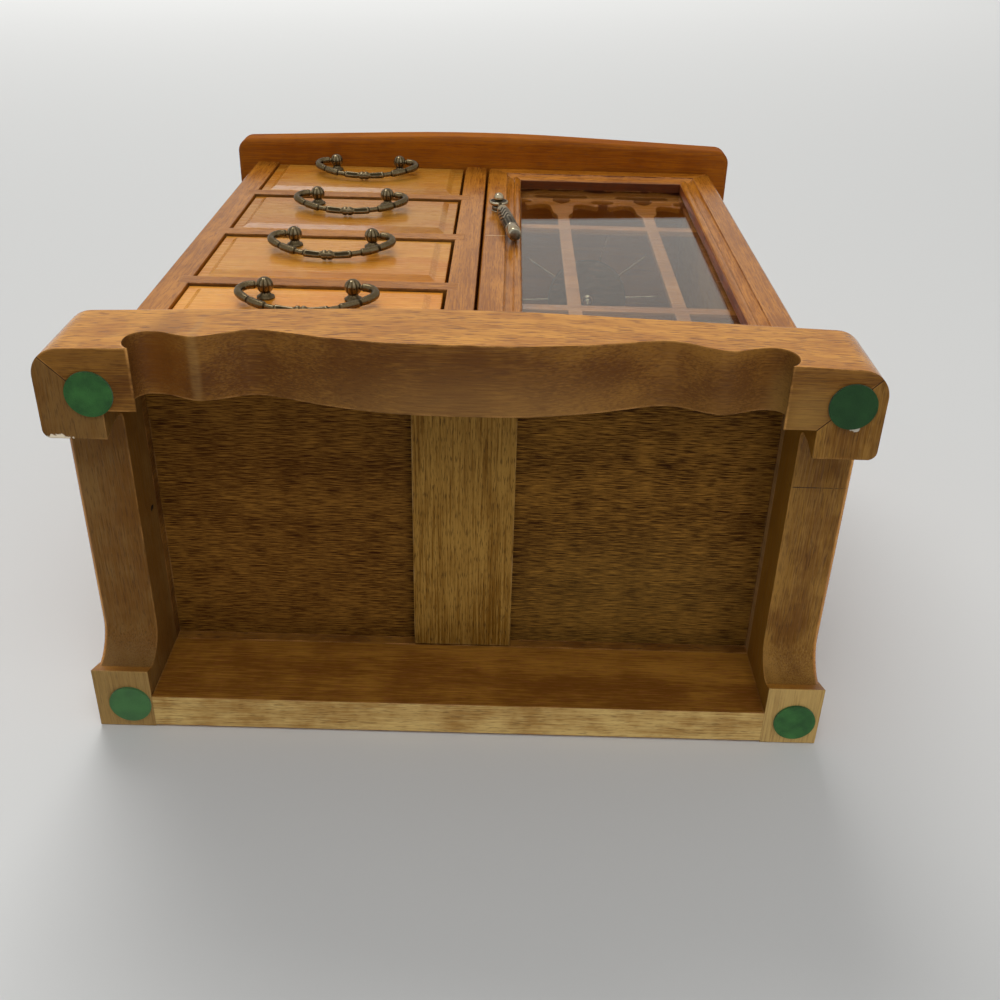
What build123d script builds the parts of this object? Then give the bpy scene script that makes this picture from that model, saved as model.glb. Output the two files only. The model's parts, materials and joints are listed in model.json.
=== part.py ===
from build123d import *
import math
import os

os.makedirs("parts", exist_ok=True)

# ---------------------------------------------------------------------------
# Driving dimensions, in millimetres.
# X runs left to right, Y front to back, Z up. The origin is the middle of the
# cabinet's footprint, on the surface that its felt pads stand on.
# ---------------------------------------------------------------------------

# Felt pads under the four feet
PAD_R = 8.0
PAD_T = 1.0
PAD_FRONT_LEFT = (17.9, 15.3)
PAD_FRONT_RIGHT = (11.2, 12.4)
PAD_BACK_LEFT = (13.1, 11.0)
PAD_BACK_RIGHT = (9.6, 10.7)

# Base: a mitred frame with scalloped aprons
BASE_W = 280.0
BASE_D = 157.4
BASE_H = 38.0
BASE_BOW = 4.7
BASE_APEX_R = 1200.0
BASE_CORNER_R = 10.0
BASE_EDGE_R = 3.0
APRON_T = 21.5
RAIL_T = 13.8
RAIL_SETBACK = 0.6
FOOT_FRONT_D = 32.0
FOOT_FRONT_UNDERCUT = 2.4
FOOT_REAR_EDGE_R = 3.0
FOOT_BACK_D = 26.5
FOOT_BACK_UNDERCUT = 2.0
SIDE_ARCH_H = 18.0
SIDE_ARCH_FRONT_R = 4.0
SIDE_ARCH_FRONT_RISE = 8.4
SIDE_ARCH_BACK_R = 12.5
FOOT_FRONT_W = 32.8
FRONT_HOOK = [(-3.8, 7.0), (-2.6, 12.5), (3.2, 15.0)]
FRONT_WAVE = [(0.83, 10.0), (0.672, 16.0), (0.578, 14.5), (0.444, 9.5), (0.317, 6.0), (0.168, 3.5),
              (0.0, 3.0)]
FRONT_WAVE_PULL = (1.0, 0.2)

# Case: sides, partition, dividers, back and floor
CASE_INSET = 16.7
CASE_SETBACK = 8.4
CASE_W = BASE_W - 2 * CASE_INSET
CASE_D = BASE_D - CASE_SETBACK
CASE_H = 253.0
SIDE_T = 11.6
SIDE_ARRIS_R = 0.8
PARTITION_X = -9.2
PARTITION_T = 11.3
DIVIDER_T = 8.0
LAST_OPENING_LOWER = 14.0
DADO = 4.0
BACK_T = 3.0
BACK_REBATE = 5.0
FLOOR_T = 4.0
FLOOR_UP = 5.0
FLOOR_REBATE = 4.0
SIDE_REBATE = 6.8
BATTEN_W = 39.4
BATTEN_GAP = 0.5

# Top board
TOP_OVERHANG = 10.5
TOP_OVERHANG_FRONT = 11.3
TOP_W = CASE_W + 2 * TOP_OVERHANG
TOP_D = CASE_D + TOP_OVERHANG_FRONT
TOP_T = 16.0
TOP_BOW = 5.3
TOP_APEX_R = 1200.0
TOP_CORNER_R = 7.0
TOP_EDGE_R = 3.0

# Drawers
DRAWERS = 4
DRAWER_GAP_LEFT = 0.6
DRAWER_GAP_RIGHT = 1.4
DRAWER_GAP_Z = 0.6
DRAWER_LIFT = 0.3
FRONT_T = 12.0
FIELD_PROUD = 0.5
FIELD_BORDER = 4.3
FIELD_BEVEL_W = 2.6
FIELD_BEVEL_H = 1.6
FRONT_ARRIS_R = 0.5
BOX_SIDE_T = 5.0
BOX_BACK_T = 5.0
BOX_BACK_GAP = 8.5
BOX_HEADROOM = 9.0
BOX_BOTTOM_T = 3.0
BOX_BOTTOM_UP = 3.5
BOX_GROOVE = 2.5
BOX_LAP = 5.0
LINING_T = 1.0

# Drawer pulls: two ball-headed posts and a swinging bail
PULL_SPACING = 33.5
PULL_BELOW_TOP = 16.5
BALL_R = 3.25
BALL_OUT = 5.1
FLANGE_R = 3.5
FLANGE_T = 1.1
POST_NECK_R = 1.9
SHANK_R = 1.5
SHANK_L = 8.0
BAIL_DROP = 20.0
BAIL_R = 1.55
BAIL_REST_GAP = 0.3
BAIL_REACH = 24.8
BAIL_SHOULDER = 8.0
BAIL_PIN_R = 1.0
BAIL_PIN_GAP = 0.05
BAIL_PIN_IN = 2.2
METAL_GAP = 0.3
SLEEVE_R = 1.75
SLEEVE_SPAN = (0.66, 0.935)   # along the arm, as shares of its length
COLLAR_R = 1.9
COLLAR_L = 1.2
COLLARS_AT = (0.30, 0.517, 0.94)   # along the arm, as shares of its length
BEAD_R = 2.1

# Door: mitred frame, glass, tracery panel
DOOR_GAP_LEFT = 1.1
DOOR_GAP_TOP = 0.5
DOOR_GAP_BOTTOM = 0.5
DOOR_GAP_BACK = 0.5
DOOR_T = 16.0
FRAME_W = 17.5
FRAME_FLAT = 10.0
COVE_W = 3.6
COVE_H = 2.0
QUIRK_H = 0.5
BEAD_DOWN = 0.7
SIGHT_H = 2.4
SIGHT_LIP = 4.1
GLASS_REBATE = 5.0
GLASS_T = 2.0
GLASS_SLACK = 0.3
FRET_T = 2.5
FRET_GAP = 0.3
STRIP_T = 4.0
STRIP_W = 4.6
DOOR_ARRIS_R = 1.5

# Tracery: the frieze and the upper bar are measured down from the top edge of the door
MUNTIN_W = 5.6
UPPER_BAR_DOWN = 86.3
LOWER_BAR_Z = 44.2
BAR_H = 6.2
CAPITAL_HALF = 5.4
CAPITAL_DOWN = 60.4
CAPITAL_NECK = 4.0
CAPITAL_RISE = 11.0
FRIEZE_ARCH_DOWN = 41.9
FRIEZE_CREST_DOWN = 13.2
FRIEZE_SPUR = [(4.2, 10.8), (5.2, 7.6)]
FRIEZE_SPUR_FOOT = [(3.4, 3.6), (0, 0.4)]
FRIEZE_CREST_DIP = 4.0
FRIEZE_CREST_FALL = 6.0
KEYHOLE_IN = 2.4
KEYHOLE_EYE_IN = 6.0
KEYHOLE_TOP = 8.0
BAY_SLOT_END = 11.5
BAY_SLOT_LOW = 11.5
BAY_SLOT_HIGH = 17.0

# Hinges and catch
HINGE_L = 18.0
HINGE_INSET = 11.0
HINGE_LEAF_W = 9.0
HINGE_LEAF_T = 0.8
HINGE_BARREL_R = 1.5
HINGE_PIN_R = 0.7
HINGE_PIN_GAP = 0.05
HINGE_KNUCKLE_GAP = 0.2
HINGE_WOOD_GAP = 0.3
HINGE_OUT = 0.2
CATCH_W = 7.0
CATCH_H = 14.0
CATCH_D = 9.0
CATCH_GAP = 0.3
STRIKE_T = 0.8

# Door pull: ball-headed stud and a swinging drop
DROP_PULL_X = 6.4
DROP_PULL_DOWN = 84.0
DROP_ROSETTE_R = 3.4
DROP_ROSETTE_T = 0.6
DROP_NECK_R = 1.5
DROP_FLANGE_R = 4.6
DROP_FLANGE_T = 1.9
DROP_FLANGE_OUT = 3.0
DROP_BALL_R = 2.4
DROP_BALL_OUT = 6.2
DROP_EYE_R = 3.2
DROP_EYE_T = 1.7
DROP_EYE_GAP = 0.05
DROP_AXIS_OUT = 3.7
DROP_STEM_R = 1.5
DROP_RING_R = 2.7
DROP_RING_AT = 13.4
DROP_BODY_R = 2.95
DROP_BODY_AT = 17.0
DROP_BAND_AT = 44.0
DROP_END_R = 3.2
DROP_END_AT = 50.5
DROP_L = 53.0
DROP_SWING = 8.8

# Carousel of necklace hooks under the top board
CAROUSEL_OFF_CENTRE = 3.8
CAROUSEL_BACK = 77.4
DISC_R = 22.0
DISC_T = 5.0
DISC_DOWN = 5.0
DISC_EDGE_R = 1.0
HOOKS = 10
HOOK_WIRE_R = 0.7
HOOK_TIP_R = 41.0
HOOK_ROOT_IN = 3.0
HOOK_BEND_R = 3.0
HOOK_RISE = 1.2
FIRST_HOOK = 213.0
PIVOT_R = 2.0
PIVOT_GAP = 0.05
PIVOT_COLLAR_R = 5.0
PIVOT_SINK = 8.0
FINIAL_R = 3.2
FINIAL_L = 7.0
FINIAL_GRIP = 1.7
CAROUSEL_LIFT = 0.3

# ---------------------------------------------------------------------------
# Places worked out from the sizes above
# ---------------------------------------------------------------------------


def bow_rise(bow, half_width, apex_r):
    """How far a soft-nosed V of the given sharp height really comes forward."""
    slope = math.atan2(bow, half_width)
    return bow - apex_r * (1 / math.cos(slope) - 1)


TOP_FRONT = bow_rise(TOP_BOW, TOP_W / 2, TOP_APEX_R)
Y_BACK = (TOP_D + TOP_FRONT) / 2
Y_BASE = Y_BACK - BASE_D
Y_CASE = Y_BACK - CASE_D
Y_TOP = Y_BACK - TOP_D

Z_FEET = PAD_T
Z_CASE = Z_FEET + BASE_H
Z_CEILING = Z_CASE + CASE_H
Z_FLOOR = Z_CASE + FLOOR_UP + FLOOR_T
Z_FLOOR_UNDER = Z_CASE + FLOOR_UP
SHARED_H = Z_CEILING - Z_FLOOR - (DRAWERS - 1) * DIVIDER_T
OPENING_H = (SHARED_H + LAST_OPENING_LOWER) / DRAWERS
DIVIDER_PITCH = OPENING_H + DIVIDER_T

X_SIDE = CASE_W / 2
X_SIDE_IN = X_SIDE - SIDE_T
X_REBATE = X_SIDE_IN + SIDE_REBATE
X_APRON_IN = BASE_W / 2 - APRON_T
X_PARTITION_R = PARTITION_X + PARTITION_T
Y_BACK_PANEL = Y_BACK - BACK_T
Y_RAIL = Y_BACK - RAIL_SETBACK - RAIL_T
Y_SILL_BACK = Y_BASE + APRON_T

Y_FRONT_PANEL = Y_CASE + DOOR_T + DOOR_GAP_BACK
X_DOOR = X_PARTITION_R + DOOR_GAP_LEFT
Z_DOOR = Z_FLOOR + DOOR_GAP_BOTTOM
Z_DOOR_TOP = Z_CEILING - DOOR_GAP_TOP
DOOR_H = Z_DOOR_TOP - Z_DOOR
UPPER_BAR_Z = DOOR_H - UPPER_BAR_DOWN
CAPITAL_Z = DOOR_H - CAPITAL_DOWN
FRIEZE_ARCH_Z = DOOR_H - FRIEZE_ARCH_DOWN
FRIEZE_CREST_Z = DOOR_H - FRIEZE_CREST_DOWN
DROP_PULL_Z = DOOR_H - DROP_PULL_DOWN
X_HINGE = X_SIDE + HINGE_OUT
Y_HINGE = Y_CASE + DOOR_T + DOOR_GAP_BACK / 2
HINGE_STARTS = (Z_DOOR + HINGE_INSET, Z_DOOR_TOP - HINGE_INSET - HINGE_L)

Y_FIELD = Y_CASE - FIELD_PROUD
Y_BORDER = Y_FIELD + FIELD_BEVEL_H
Y_FRONT_BACK = Y_FIELD + FRONT_T
Y_BOX_BACK = Y_BACK_PANEL - BOX_BACK_GAP
Y_BALL = Y_FIELD - BALL_OUT
X_DRAWER = -X_SIDE_IN + DRAWER_GAP_LEFT
X_DRAWER_R = PARTITION_X - DRAWER_GAP_RIGHT
X_PULL = (X_DRAWER + X_DRAWER_R) / 2
X_CAROUSEL = (X_PARTITION_R + X_SIDE_IN) / 2 + CAROUSEL_OFF_CENTRE
Y_CAROUSEL = Y_BACK - CAROUSEL_BACK
OPENING_TOPS = [Z_CEILING - i * DIVIDER_PITCH for i in range(DRAWERS)]

OVER = 1.0

# ---------------------------------------------------------------------------
# Shared operations
# ---------------------------------------------------------------------------


def block(x0, x1, y0, y1, z0, z1):
    """A square-cut piece between two opposite corners."""
    size = (x1 - x0, y1 - y0, z1 - z0)
    middle = ((x0 + x1) / 2, (y0 + y1) / 2, (z0 + z1) / 2)
    return Pos(*middle) * Box(*size)


def through_y(face, y0, y1):
    """Extrudes an outline drawn in X and Z from y0 to y1."""
    plane = Plane(origin=(0, y1, 0), x_dir=(1, 0, 0), z_dir=(0, -1, 0))
    return extrude(plane * face, y1 - y0)


def through_x(face, x0, x1):
    """Extrudes an outline drawn in Y and Z from x0 to x1."""
    plane = Plane(origin=(x0, 0, 0), x_dir=(0, 1, 0), z_dir=(1, 0, 0))
    return extrude(plane * face, x1 - x0)


def rod(centre, direction, radius, length):
    """A round bar that starts at a point and runs along a direction."""
    return extrude(Plane(origin=centre, z_dir=direction) * Circle(radius), length)


def turned(points):
    """A turning about Z from its half section, given as radius and height."""
    outline = Polyline(*points, close=True)
    return revolve(make_face(Plane.XZ * outline), Axis.Z)


def facing_front(shape, x, y, z):
    """Lays a turning on its side, so that its own Z points at the front."""
    return Pos(x, y, z) * Rot(90, 0, 0) * shape


def bowed_plan(width, depth, y_front, bow, apex_r, corner_r):
    """A board's plan: straight back and ends, and a soft-nosed V in front."""
    half = width / 2
    corners = [
        (-half, y_front + depth),
        (-half, y_front),
        (0, y_front - bow),
        (half, y_front),
        (half, y_front + depth),
    ]
    face = make_face(Polyline(*corners, close=True))
    nose = [v for v in face.vertices() if abs(v.X) < half / 2]
    face = fillet(nose, apex_r)
    ears = [v for v in face.vertices() if abs(abs(v.X) - half) < 1e-6 and v.Y < y_front + corner_r]
    return fillet(ears, corner_r)


def outer_edges(solid, z):
    """The edges at one height, apart from those along the flush back."""
    at_height = [e for e in solid.edges() if abs(e.center().Z - z) < 1e-6]
    return [e for e in at_height if e.center().Y < Y_BACK - 1e-3]


# ---------------------------------------------------------------------------
# Base
# ---------------------------------------------------------------------------


def base_ring():
    """The three moulded aprons before they are mitred apart."""
    plan = bowed_plan(BASE_W, BASE_D, Y_BASE, BASE_BOW, BASE_APEX_R, BASE_CORNER_R)
    ring = extrude(Pos(0, 0, Z_FEET) * plan, BASE_H)
    ring = fillet(outer_edges(ring, Z_CASE), BASE_EDGE_R)
    hollow = block(
        -X_APRON_IN, X_APRON_IN, Y_BASE + APRON_T, Y_BACK + OVER, Z_FEET - OVER, Z_CASE + OVER
    )
    return ring - hollow


def front_wedge():
    """The space ahead of the two mitres at the front corners."""
    reach = 20.0
    plan = Polyline(
        (-BASE_W / 2 - reach, Y_BASE - reach),
        (BASE_W / 2 + reach, Y_BASE - reach),
        (X_APRON_IN, Y_BASE + APRON_T),
        (-X_APRON_IN, Y_BASE + APRON_T),
        close=True,
    )
    return extrude(Pos(0, 0, Z_FEET - OVER) * make_face(plan), BASE_H + 2 * OVER)


def front_scallop():
    """The wavy lower edge of the front apron, cut straight through."""
    toe_x = BASE_W / 2 - FOOT_FRONT_W
    hook = [(toe_x - inward, Z_FEET + h) for inward, h in FRONT_HOOK]
    wave = [(toe_x * share, Z_FEET + h) for share, h in FRONT_WAVE]
    toe = (toe_x, Z_FEET)
    under = Z_FEET - OVER
    lobe = hook[-1]
    outline = Spline(toe, *hook)
    outline += Spline(lobe, *wave, tangents=[(-1, 0), (-1, 0)], tangent_scalars=FRONT_WAVE_PULL)
    outline += Polyline(wave[-1], (0, under), (toe_x, under), toe)
    cut = through_y(make_face(outline), Y_BASE - BASE_BOW - OVER, Y_BASE + APRON_T + OVER)
    return cut + mirror(cut, Plane.YZ)


def side_scallop():
    """The long arch under a side apron, with a cove at the back foot."""
    front = Y_BASE + FOOT_FRONT_D
    lean = front - FOOT_FRONT_UNDERCUT
    back = Y_BACK - FOOT_BACK_D
    heel = back + FOOT_BACK_UNDERCUT
    under = Z_FEET - OVER
    roof = Z_FEET + SIDE_ARCH_H
    corner = roof - SIDE_ARCH_FRONT_R
    cove = heel - SIDE_ARCH_BACK_R
    spring = roof - SIDE_ARCH_BACK_R
    outline = Polyline((front, under), (front, Z_FEET), (lean, Z_FEET + SIDE_ARCH_FRONT_RISE),
                       (lean, corner))
    outline += TangentArc((lean, corner), (lean + SIDE_ARCH_FRONT_R, roof), tangent=(0, 1))
    outline += Line((lean + SIDE_ARCH_FRONT_R, roof), (cove, roof))
    outline += TangentArc((cove, roof), (heel, spring), tangent=(1, 0))
    outline += Polyline((heel, spring), (back, Z_FEET), (back, under), (front, under))
    return through_x(make_face(outline), -BASE_W / 2 - OVER, BASE_W / 2 + OVER)


def base_aprons():
    """Front, left and right aprons, mitred at the front corners."""
    ring = base_ring()
    wedge = front_wedge()
    front = (ring & wedge) - front_scallop()
    sides = ring - wedge - side_scallop()
    rear_edges = [
        e
        for e in sides.edges()
        if abs(abs(e.center().X) - BASE_W / 2) < 1e-3
        and abs(e.center().Y - (Y_BASE + FOOT_FRONT_D - FOOT_FRONT_UNDERCUT / 2)) < FOOT_FRONT_UNDERCUT
        and e.center().Z < Z_FEET + SIDE_ARCH_H - SIDE_ARCH_FRONT_R
    ]
    sides = fillet(rear_edges, FOOT_REAR_EDGE_R)
    parts = sorted(sides.solids(), key=lambda s: s.center().X)
    return front, parts[0], parts[1]


def base_back_rail():
    """Plain rail between the back ends of the side aprons."""
    return block(-X_APRON_IN, X_APRON_IN, Y_RAIL, Y_RAIL + RAIL_T, Z_FEET, Z_CASE)


def felt_pads():
    """One round pad on the underside of each foot."""
    half = BASE_W / 2
    centres = [
        (-half + PAD_FRONT_LEFT[0], Y_BASE + PAD_FRONT_LEFT[1]),
        (half - PAD_FRONT_RIGHT[0], Y_BASE + PAD_FRONT_RIGHT[1]),
        (-half + PAD_BACK_LEFT[0], Y_BACK - PAD_BACK_LEFT[1]),
        (half - PAD_BACK_RIGHT[0], Y_BACK - PAD_BACK_RIGHT[1]),
    ]
    return [Pos(x, y, Z_FEET - PAD_T / 2) * Cylinder(PAD_R, PAD_T) for x, y in centres]


# ---------------------------------------------------------------------------
# Case
# ---------------------------------------------------------------------------


def dividers(x0, x1):
    """The three boards between the drawers, or the housings they sit in."""
    return [block(x0, x1, Y_CASE, Y_BACK_PANEL, z, z + DIVIDER_T) for z in OPENING_TOPS[1:]]


def side_panel(sign, y_front):
    """A case side, rebated for the back and for the floor frame."""
    x0, x1 = sorted((sign * X_SIDE, sign * X_SIDE_IN))
    panel = block(x0, x1, y_front, Y_BACK, Z_CASE, Z_CEILING)
    front = [e for e in panel.edges() if abs(e.center().Y - y_front) < 1e-6]
    outer = [e for e in front if abs(e.center().X - sign * X_SIDE) < 1e-6]
    panel = fillet(outer, SIDE_ARRIS_R)
    r0, r1 = sorted((sign * (X_SIDE_IN + BACK_REBATE), sign * (X_SIDE_IN - OVER)))
    panel -= block(r0, r1, Y_BACK_PANEL, Y_BACK + OVER, Z_CASE - OVER, Z_CEILING + OVER)
    f0, f1 = sorted((sign * X_REBATE, sign * (X_SIDE_IN - OVER)))
    return panel - block(f0, f1, y_front - OVER, Y_BACK + OVER, Z_CASE - OVER, Z_FLOOR)


def side_panel_left():
    """The left side, housed for the drawer dividers."""
    panel = side_panel(-1, Y_CASE)
    for board in dividers(-X_SIDE_IN - DADO, PARTITION_X):
        panel -= board
    return panel


def hinge_clearance(z):
    """The round hollow in the wood around one hinge barrel."""
    return Pos(X_HINGE, Y_HINGE, z + HINGE_L / 2) * Cylinder(
        HINGE_BARREL_R + HINGE_WOOD_GAP, HINGE_L + 2 * HINGE_WOOD_GAP
    )


def leaf_mortise(z, y0, y1):
    """The shallow pocket that one hinge leaf is let into."""
    return block(X_HINGE - HINGE_LEAF_W, X_HINGE, y0, y1, z, z + HINGE_L)


def side_panel_right():
    """The right side, set back behind the door and cut for its hinges."""
    panel = side_panel(1, Y_FRONT_PANEL)
    panel += block(X_REBATE, X_SIDE, Y_SILL_BACK, Y_FRONT_PANEL + OVER, Z_CASE, Z_FLOOR)
    for z in HINGE_STARTS:
        panel -= hinge_clearance(z)
        panel -= leaf_mortise(z, Y_FRONT_PANEL - OVER, case_leaf_y()[1])
    return panel


def centre_partition():
    """The upright board between the drawers and the glazed compartment."""
    board = block(PARTITION_X, X_PARTITION_R, Y_CASE, Y_BACK_PANEL, Z_FLOOR, Z_CEILING)
    front = [e for e in board.edges() if abs(e.center().Y - Y_CASE) < 1e-6]
    uprights = [e for e in front if abs(e.center().Z - (Z_FLOOR + Z_CEILING) / 2) < 1e-6]
    board = fillet(uprights, FRONT_ARRIS_R)
    for housing in dividers(-X_SIDE_IN, PARTITION_X + DADO):
        board -= housing
    return board


def drawer_dividers():
    """Boards that part the drawers, housed at both ends."""
    return dividers(-X_SIDE_IN - DADO, PARTITION_X + DADO)


def front_sill():
    """The case's bottom rail in front, rebated for the floor and running out under the door."""
    sill = block(-X_REBATE, X_SIDE, Y_CASE, Y_SILL_BACK, Z_CASE, Z_FLOOR)
    return sill - block(
        -X_REBATE - OVER, X_REBATE, Y_SILL_BACK - FLOOR_REBATE, Y_SILL_BACK + OVER,
        Z_FLOOR_UNDER, Z_FLOOR + OVER
    )


def back_sill():
    """The case's bottom rail behind, rebated for the floor."""
    sill = block(-X_REBATE, X_REBATE, Y_RAIL, Y_BACK_PANEL, Z_CASE, Z_FLOOR)
    return sill - block(
        -X_REBATE - OVER, X_REBATE + OVER, Y_RAIL - OVER, Y_RAIL + FLOOR_REBATE,
        Z_FLOOR_UNDER, Z_FLOOR + OVER
    )


def floor_panel():
    """The plywood floor, let into the sills and the sides."""
    return block(
        -X_REBATE, X_REBATE, Y_SILL_BACK - FLOOR_REBATE, Y_RAIL + FLOOR_REBATE,
        Z_FLOOR_UNDER, Z_FLOOR
    )


def floor_batten():
    """The flat strip glued under the middle of the floor."""
    return block(
        -BATTEN_W / 2, BATTEN_W / 2, Y_SILL_BACK, Y_RAIL - BATTEN_GAP, Z_CASE, Z_FLOOR_UNDER
    )


def back_panel():
    """The plywood back in its rebates."""
    half = X_SIDE_IN + BACK_REBATE
    return block(-half, half, Y_BACK_PANEL, Y_BACK, Z_CASE, Z_CEILING)


def top_board():
    """The overhanging top, bored underneath for the carousel's pivot."""
    plan = bowed_plan(TOP_W, TOP_D, Y_TOP, TOP_BOW, TOP_APEX_R, TOP_CORNER_R)
    board = extrude(Pos(0, 0, Z_CEILING) * plan, TOP_T)
    rims = outer_edges(board, Z_CEILING) + outer_edges(board, Z_CEILING + TOP_T)
    board = fillet(rims, TOP_EDGE_R)
    bore = rod((X_CAROUSEL, Y_CAROUSEL, Z_CEILING - OVER), (0, 0, 1), PIVOT_R, PIVOT_SINK + OVER)
    return board - bore


# ---------------------------------------------------------------------------
# Drawers
# ---------------------------------------------------------------------------


def opening(index):
    """Bottom and top of one drawer's opening in the case."""
    top = OPENING_TOPS[index]
    bottom = top - DIVIDER_PITCH + DIVIDER_T
    return max(bottom, Z_FLOOR), top


def pull_height(index):
    """Height of the posts on one drawer front."""
    return OPENING_TOPS[index] - PULL_BELOW_TOP


def post_xs():
    """Where the two posts of a pull stand."""
    return X_PULL - PULL_SPACING / 2, X_PULL + PULL_SPACING / 2


def drawer_front(index):
    """A front with a flat border and a bevelled, raised field."""
    z0, z1 = opening(index)
    z0 += DRAWER_GAP_Z
    z1 -= DRAWER_GAP_Z
    x0, x1 = X_DRAWER, X_DRAWER_R
    slab = block(x0, x1, Y_BORDER, Y_FRONT_BACK, z0, z1)
    rims = [e for e in slab.edges() if abs(e.center().Y - Y_BORDER) < 1e-6]
    slab = fillet(rims, FRONT_ARRIS_R)
    middle = Plane(
        origin=((x0 + x1) / 2, Y_BORDER, (z0 + z1) / 2), x_dir=(1, 0, 0), z_dir=(0, -1, 0)
    )
    base = Rectangle(x1 - x0 - 2 * FIELD_BORDER, z1 - z0 - 2 * FIELD_BORDER)
    slope = math.degrees(math.atan2(FIELD_BEVEL_W, FIELD_BEVEL_H))
    field = extrude(middle * base, FIELD_BEVEL_H, taper=slope)
    front = slab + field
    bottom, side_top = box_heights(index)
    for edge, sign in ((x0, 1), (x1, -1)):
        a, b = sorted((edge - sign * OVER, edge + sign * BOX_SIDE_T))
        front -= block(a, b, Y_FRONT_BACK - BOX_LAP, Y_FRONT_BACK + OVER, bottom, side_top)
    groove = bottom + BOX_BOTTOM_UP
    front -= block(
        x0 + BOX_SIDE_T - BOX_GROOVE, x1 - BOX_SIDE_T + BOX_GROOVE, Y_FRONT_BACK - BOX_GROOVE,
        Y_FRONT_BACK + OVER, groove, groove + BOX_BOTTOM_T
    )
    for x in post_xs():
        front -= rod((x, Y_FIELD - OVER, pull_height(index)), (0, 1, 0), SHANK_R, SHANK_L + OVER)
    return front


def box_heights(index):
    """Bottom and top edge of the drawer box behind one front."""
    z0, z1 = opening(index)
    return z0 + DRAWER_LIFT, z1 - BOX_HEADROOM


def drawer_sides(index):
    """Both sides of a drawer box, grooved for the bottom."""
    z0, z1 = box_heights(index)
    y0 = Y_FRONT_BACK - BOX_LAP
    y1 = Y_BOX_BACK
    groove = z0 + BOX_BOTTOM_UP
    sides = []
    for edge, sign in ((X_DRAWER, 1), (X_DRAWER_R, -1)):
        inner = edge + sign * BOX_SIDE_T
        side = block(*sorted((edge, inner)), y0, y1, z0, z1)
        slot = sorted((inner - sign * BOX_GROOVE, inner + sign * OVER))
        side -= block(*slot, y0 - OVER, y1 + OVER, groove, groove + BOX_BOTTOM_T)
        sides.append(side)
    return sides


def drawer_back(index):
    """The back of a drawer box, standing on the bottom panel."""
    z0, z1 = box_heights(index)
    foot = z0 + BOX_BOTTOM_UP + BOX_BOTTOM_T
    return block(
        X_DRAWER + BOX_SIDE_T, X_DRAWER_R - BOX_SIDE_T, Y_BOX_BACK - BOX_BACK_T, Y_BOX_BACK, foot, z1
    )


def drawer_bottom(index):
    """The thin bottom panel, let into the sides and the front."""
    z = box_heights(index)[0] + BOX_BOTTOM_UP
    inset = BOX_SIDE_T - BOX_GROOVE
    return block(
        X_DRAWER + inset, X_DRAWER_R - inset, Y_FRONT_BACK - BOX_GROOVE,
        Y_BOX_BACK, z, z + BOX_BOTTOM_T
    )


def drawer_lining(index):
    """The felt that covers the inside of the bottom."""
    z = box_heights(index)[0] + BOX_BOTTOM_UP + BOX_BOTTOM_T
    return block(
        X_DRAWER + BOX_SIDE_T, X_DRAWER_R - BOX_SIDE_T, Y_FRONT_BACK,
        Y_BOX_BACK - BOX_BACK_T, z, z + LINING_T
    )


# ---------------------------------------------------------------------------
# Drawer pulls
# ---------------------------------------------------------------------------


def pull_post():
    """One post: shank, flange, waisted neck and ball, standing on z = 0."""
    rim = (FLANGE_R, FLANGE_T * 0.5)
    throat = (POST_NECK_R, FLANGE_T * 1.9)
    profile = Polyline((0, -SHANK_L), (SHANK_R, -SHANK_L), (SHANK_R, 0), (FLANGE_R, 0), rim)
    profile += Spline(rim, (FLANGE_R * 0.7, FLANGE_T), throat)
    profile += Polyline(throat, (0, FLANGE_T * 1.9), (0, -SHANK_L))
    foot = revolve(make_face(Plane.XZ * profile), Axis.Z)
    neck = extrude(Circle(POST_NECK_R), BALL_OUT)
    return foot + neck + Pos(0, 0, BALL_OUT) * Sphere(BALL_R)


def pull_posts(index):
    """Both posts of a drawer pull, each bored on its outer side for the bail."""
    posts = []
    for x in post_xs():
        outward = (math.copysign(1, x - X_PULL), 0, 0)
        post = facing_front(pull_post(), x, Y_FIELD, pull_height(index))
        start = (x + outward[0] * (BALL_R - BAIL_PIN_IN - METAL_GAP), Y_BALL, pull_height(index))
        posts.append(post - rod(start, outward, BAIL_PIN_R + BAIL_PIN_GAP, BALL_R))
    return posts


def bail_path():
    """Centre line of half a bail: out from the ball, round the curl and in to the middle."""
    sweep_r = (BAIL_REACH**2 + (BAIL_DROP - BAIL_SHOULDER) ** 2) / (2 * (BAIL_DROP - BAIL_SHOULDER))
    centre_z = sweep_r - BAIL_DROP
    rise = (centre_z + BAIL_SHOULDER) / sweep_r
    curl_r = BAIL_SHOULDER / (1 + rise)
    curl_x = BAIL_REACH - curl_r * BAIL_REACH / sweep_r
    start = PULL_SPACING / 2 + BALL_R + METAL_GAP
    straight = Line((start, 0, 0), (curl_x, 0, 0))
    side = (curl_x + curl_r * math.cos(0.1), 0, -curl_r + curl_r * math.sin(0.1))
    curl = ThreePointArc((curl_x, 0, 0), side, (BAIL_REACH, 0, -BAIL_SHOULDER))
    turn = 0.5 * math.atan2(BAIL_REACH, centre_z + BAIL_SHOULDER)
    halfway = (sweep_r * math.sin(turn), 0, centre_z - sweep_r * math.cos(turn))
    arm = ThreePointArc((BAIL_REACH, 0, -BAIL_SHOULDER), halfway, (0, 0, -BAIL_DROP))
    return straight, curl, arm


def tube(edge, radius):
    """A round bar bent along one line or arc."""
    section = Plane(origin=edge @ 0, z_dir=edge % 0) * Circle(radius)
    return sweep(section, path=edge)


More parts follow.
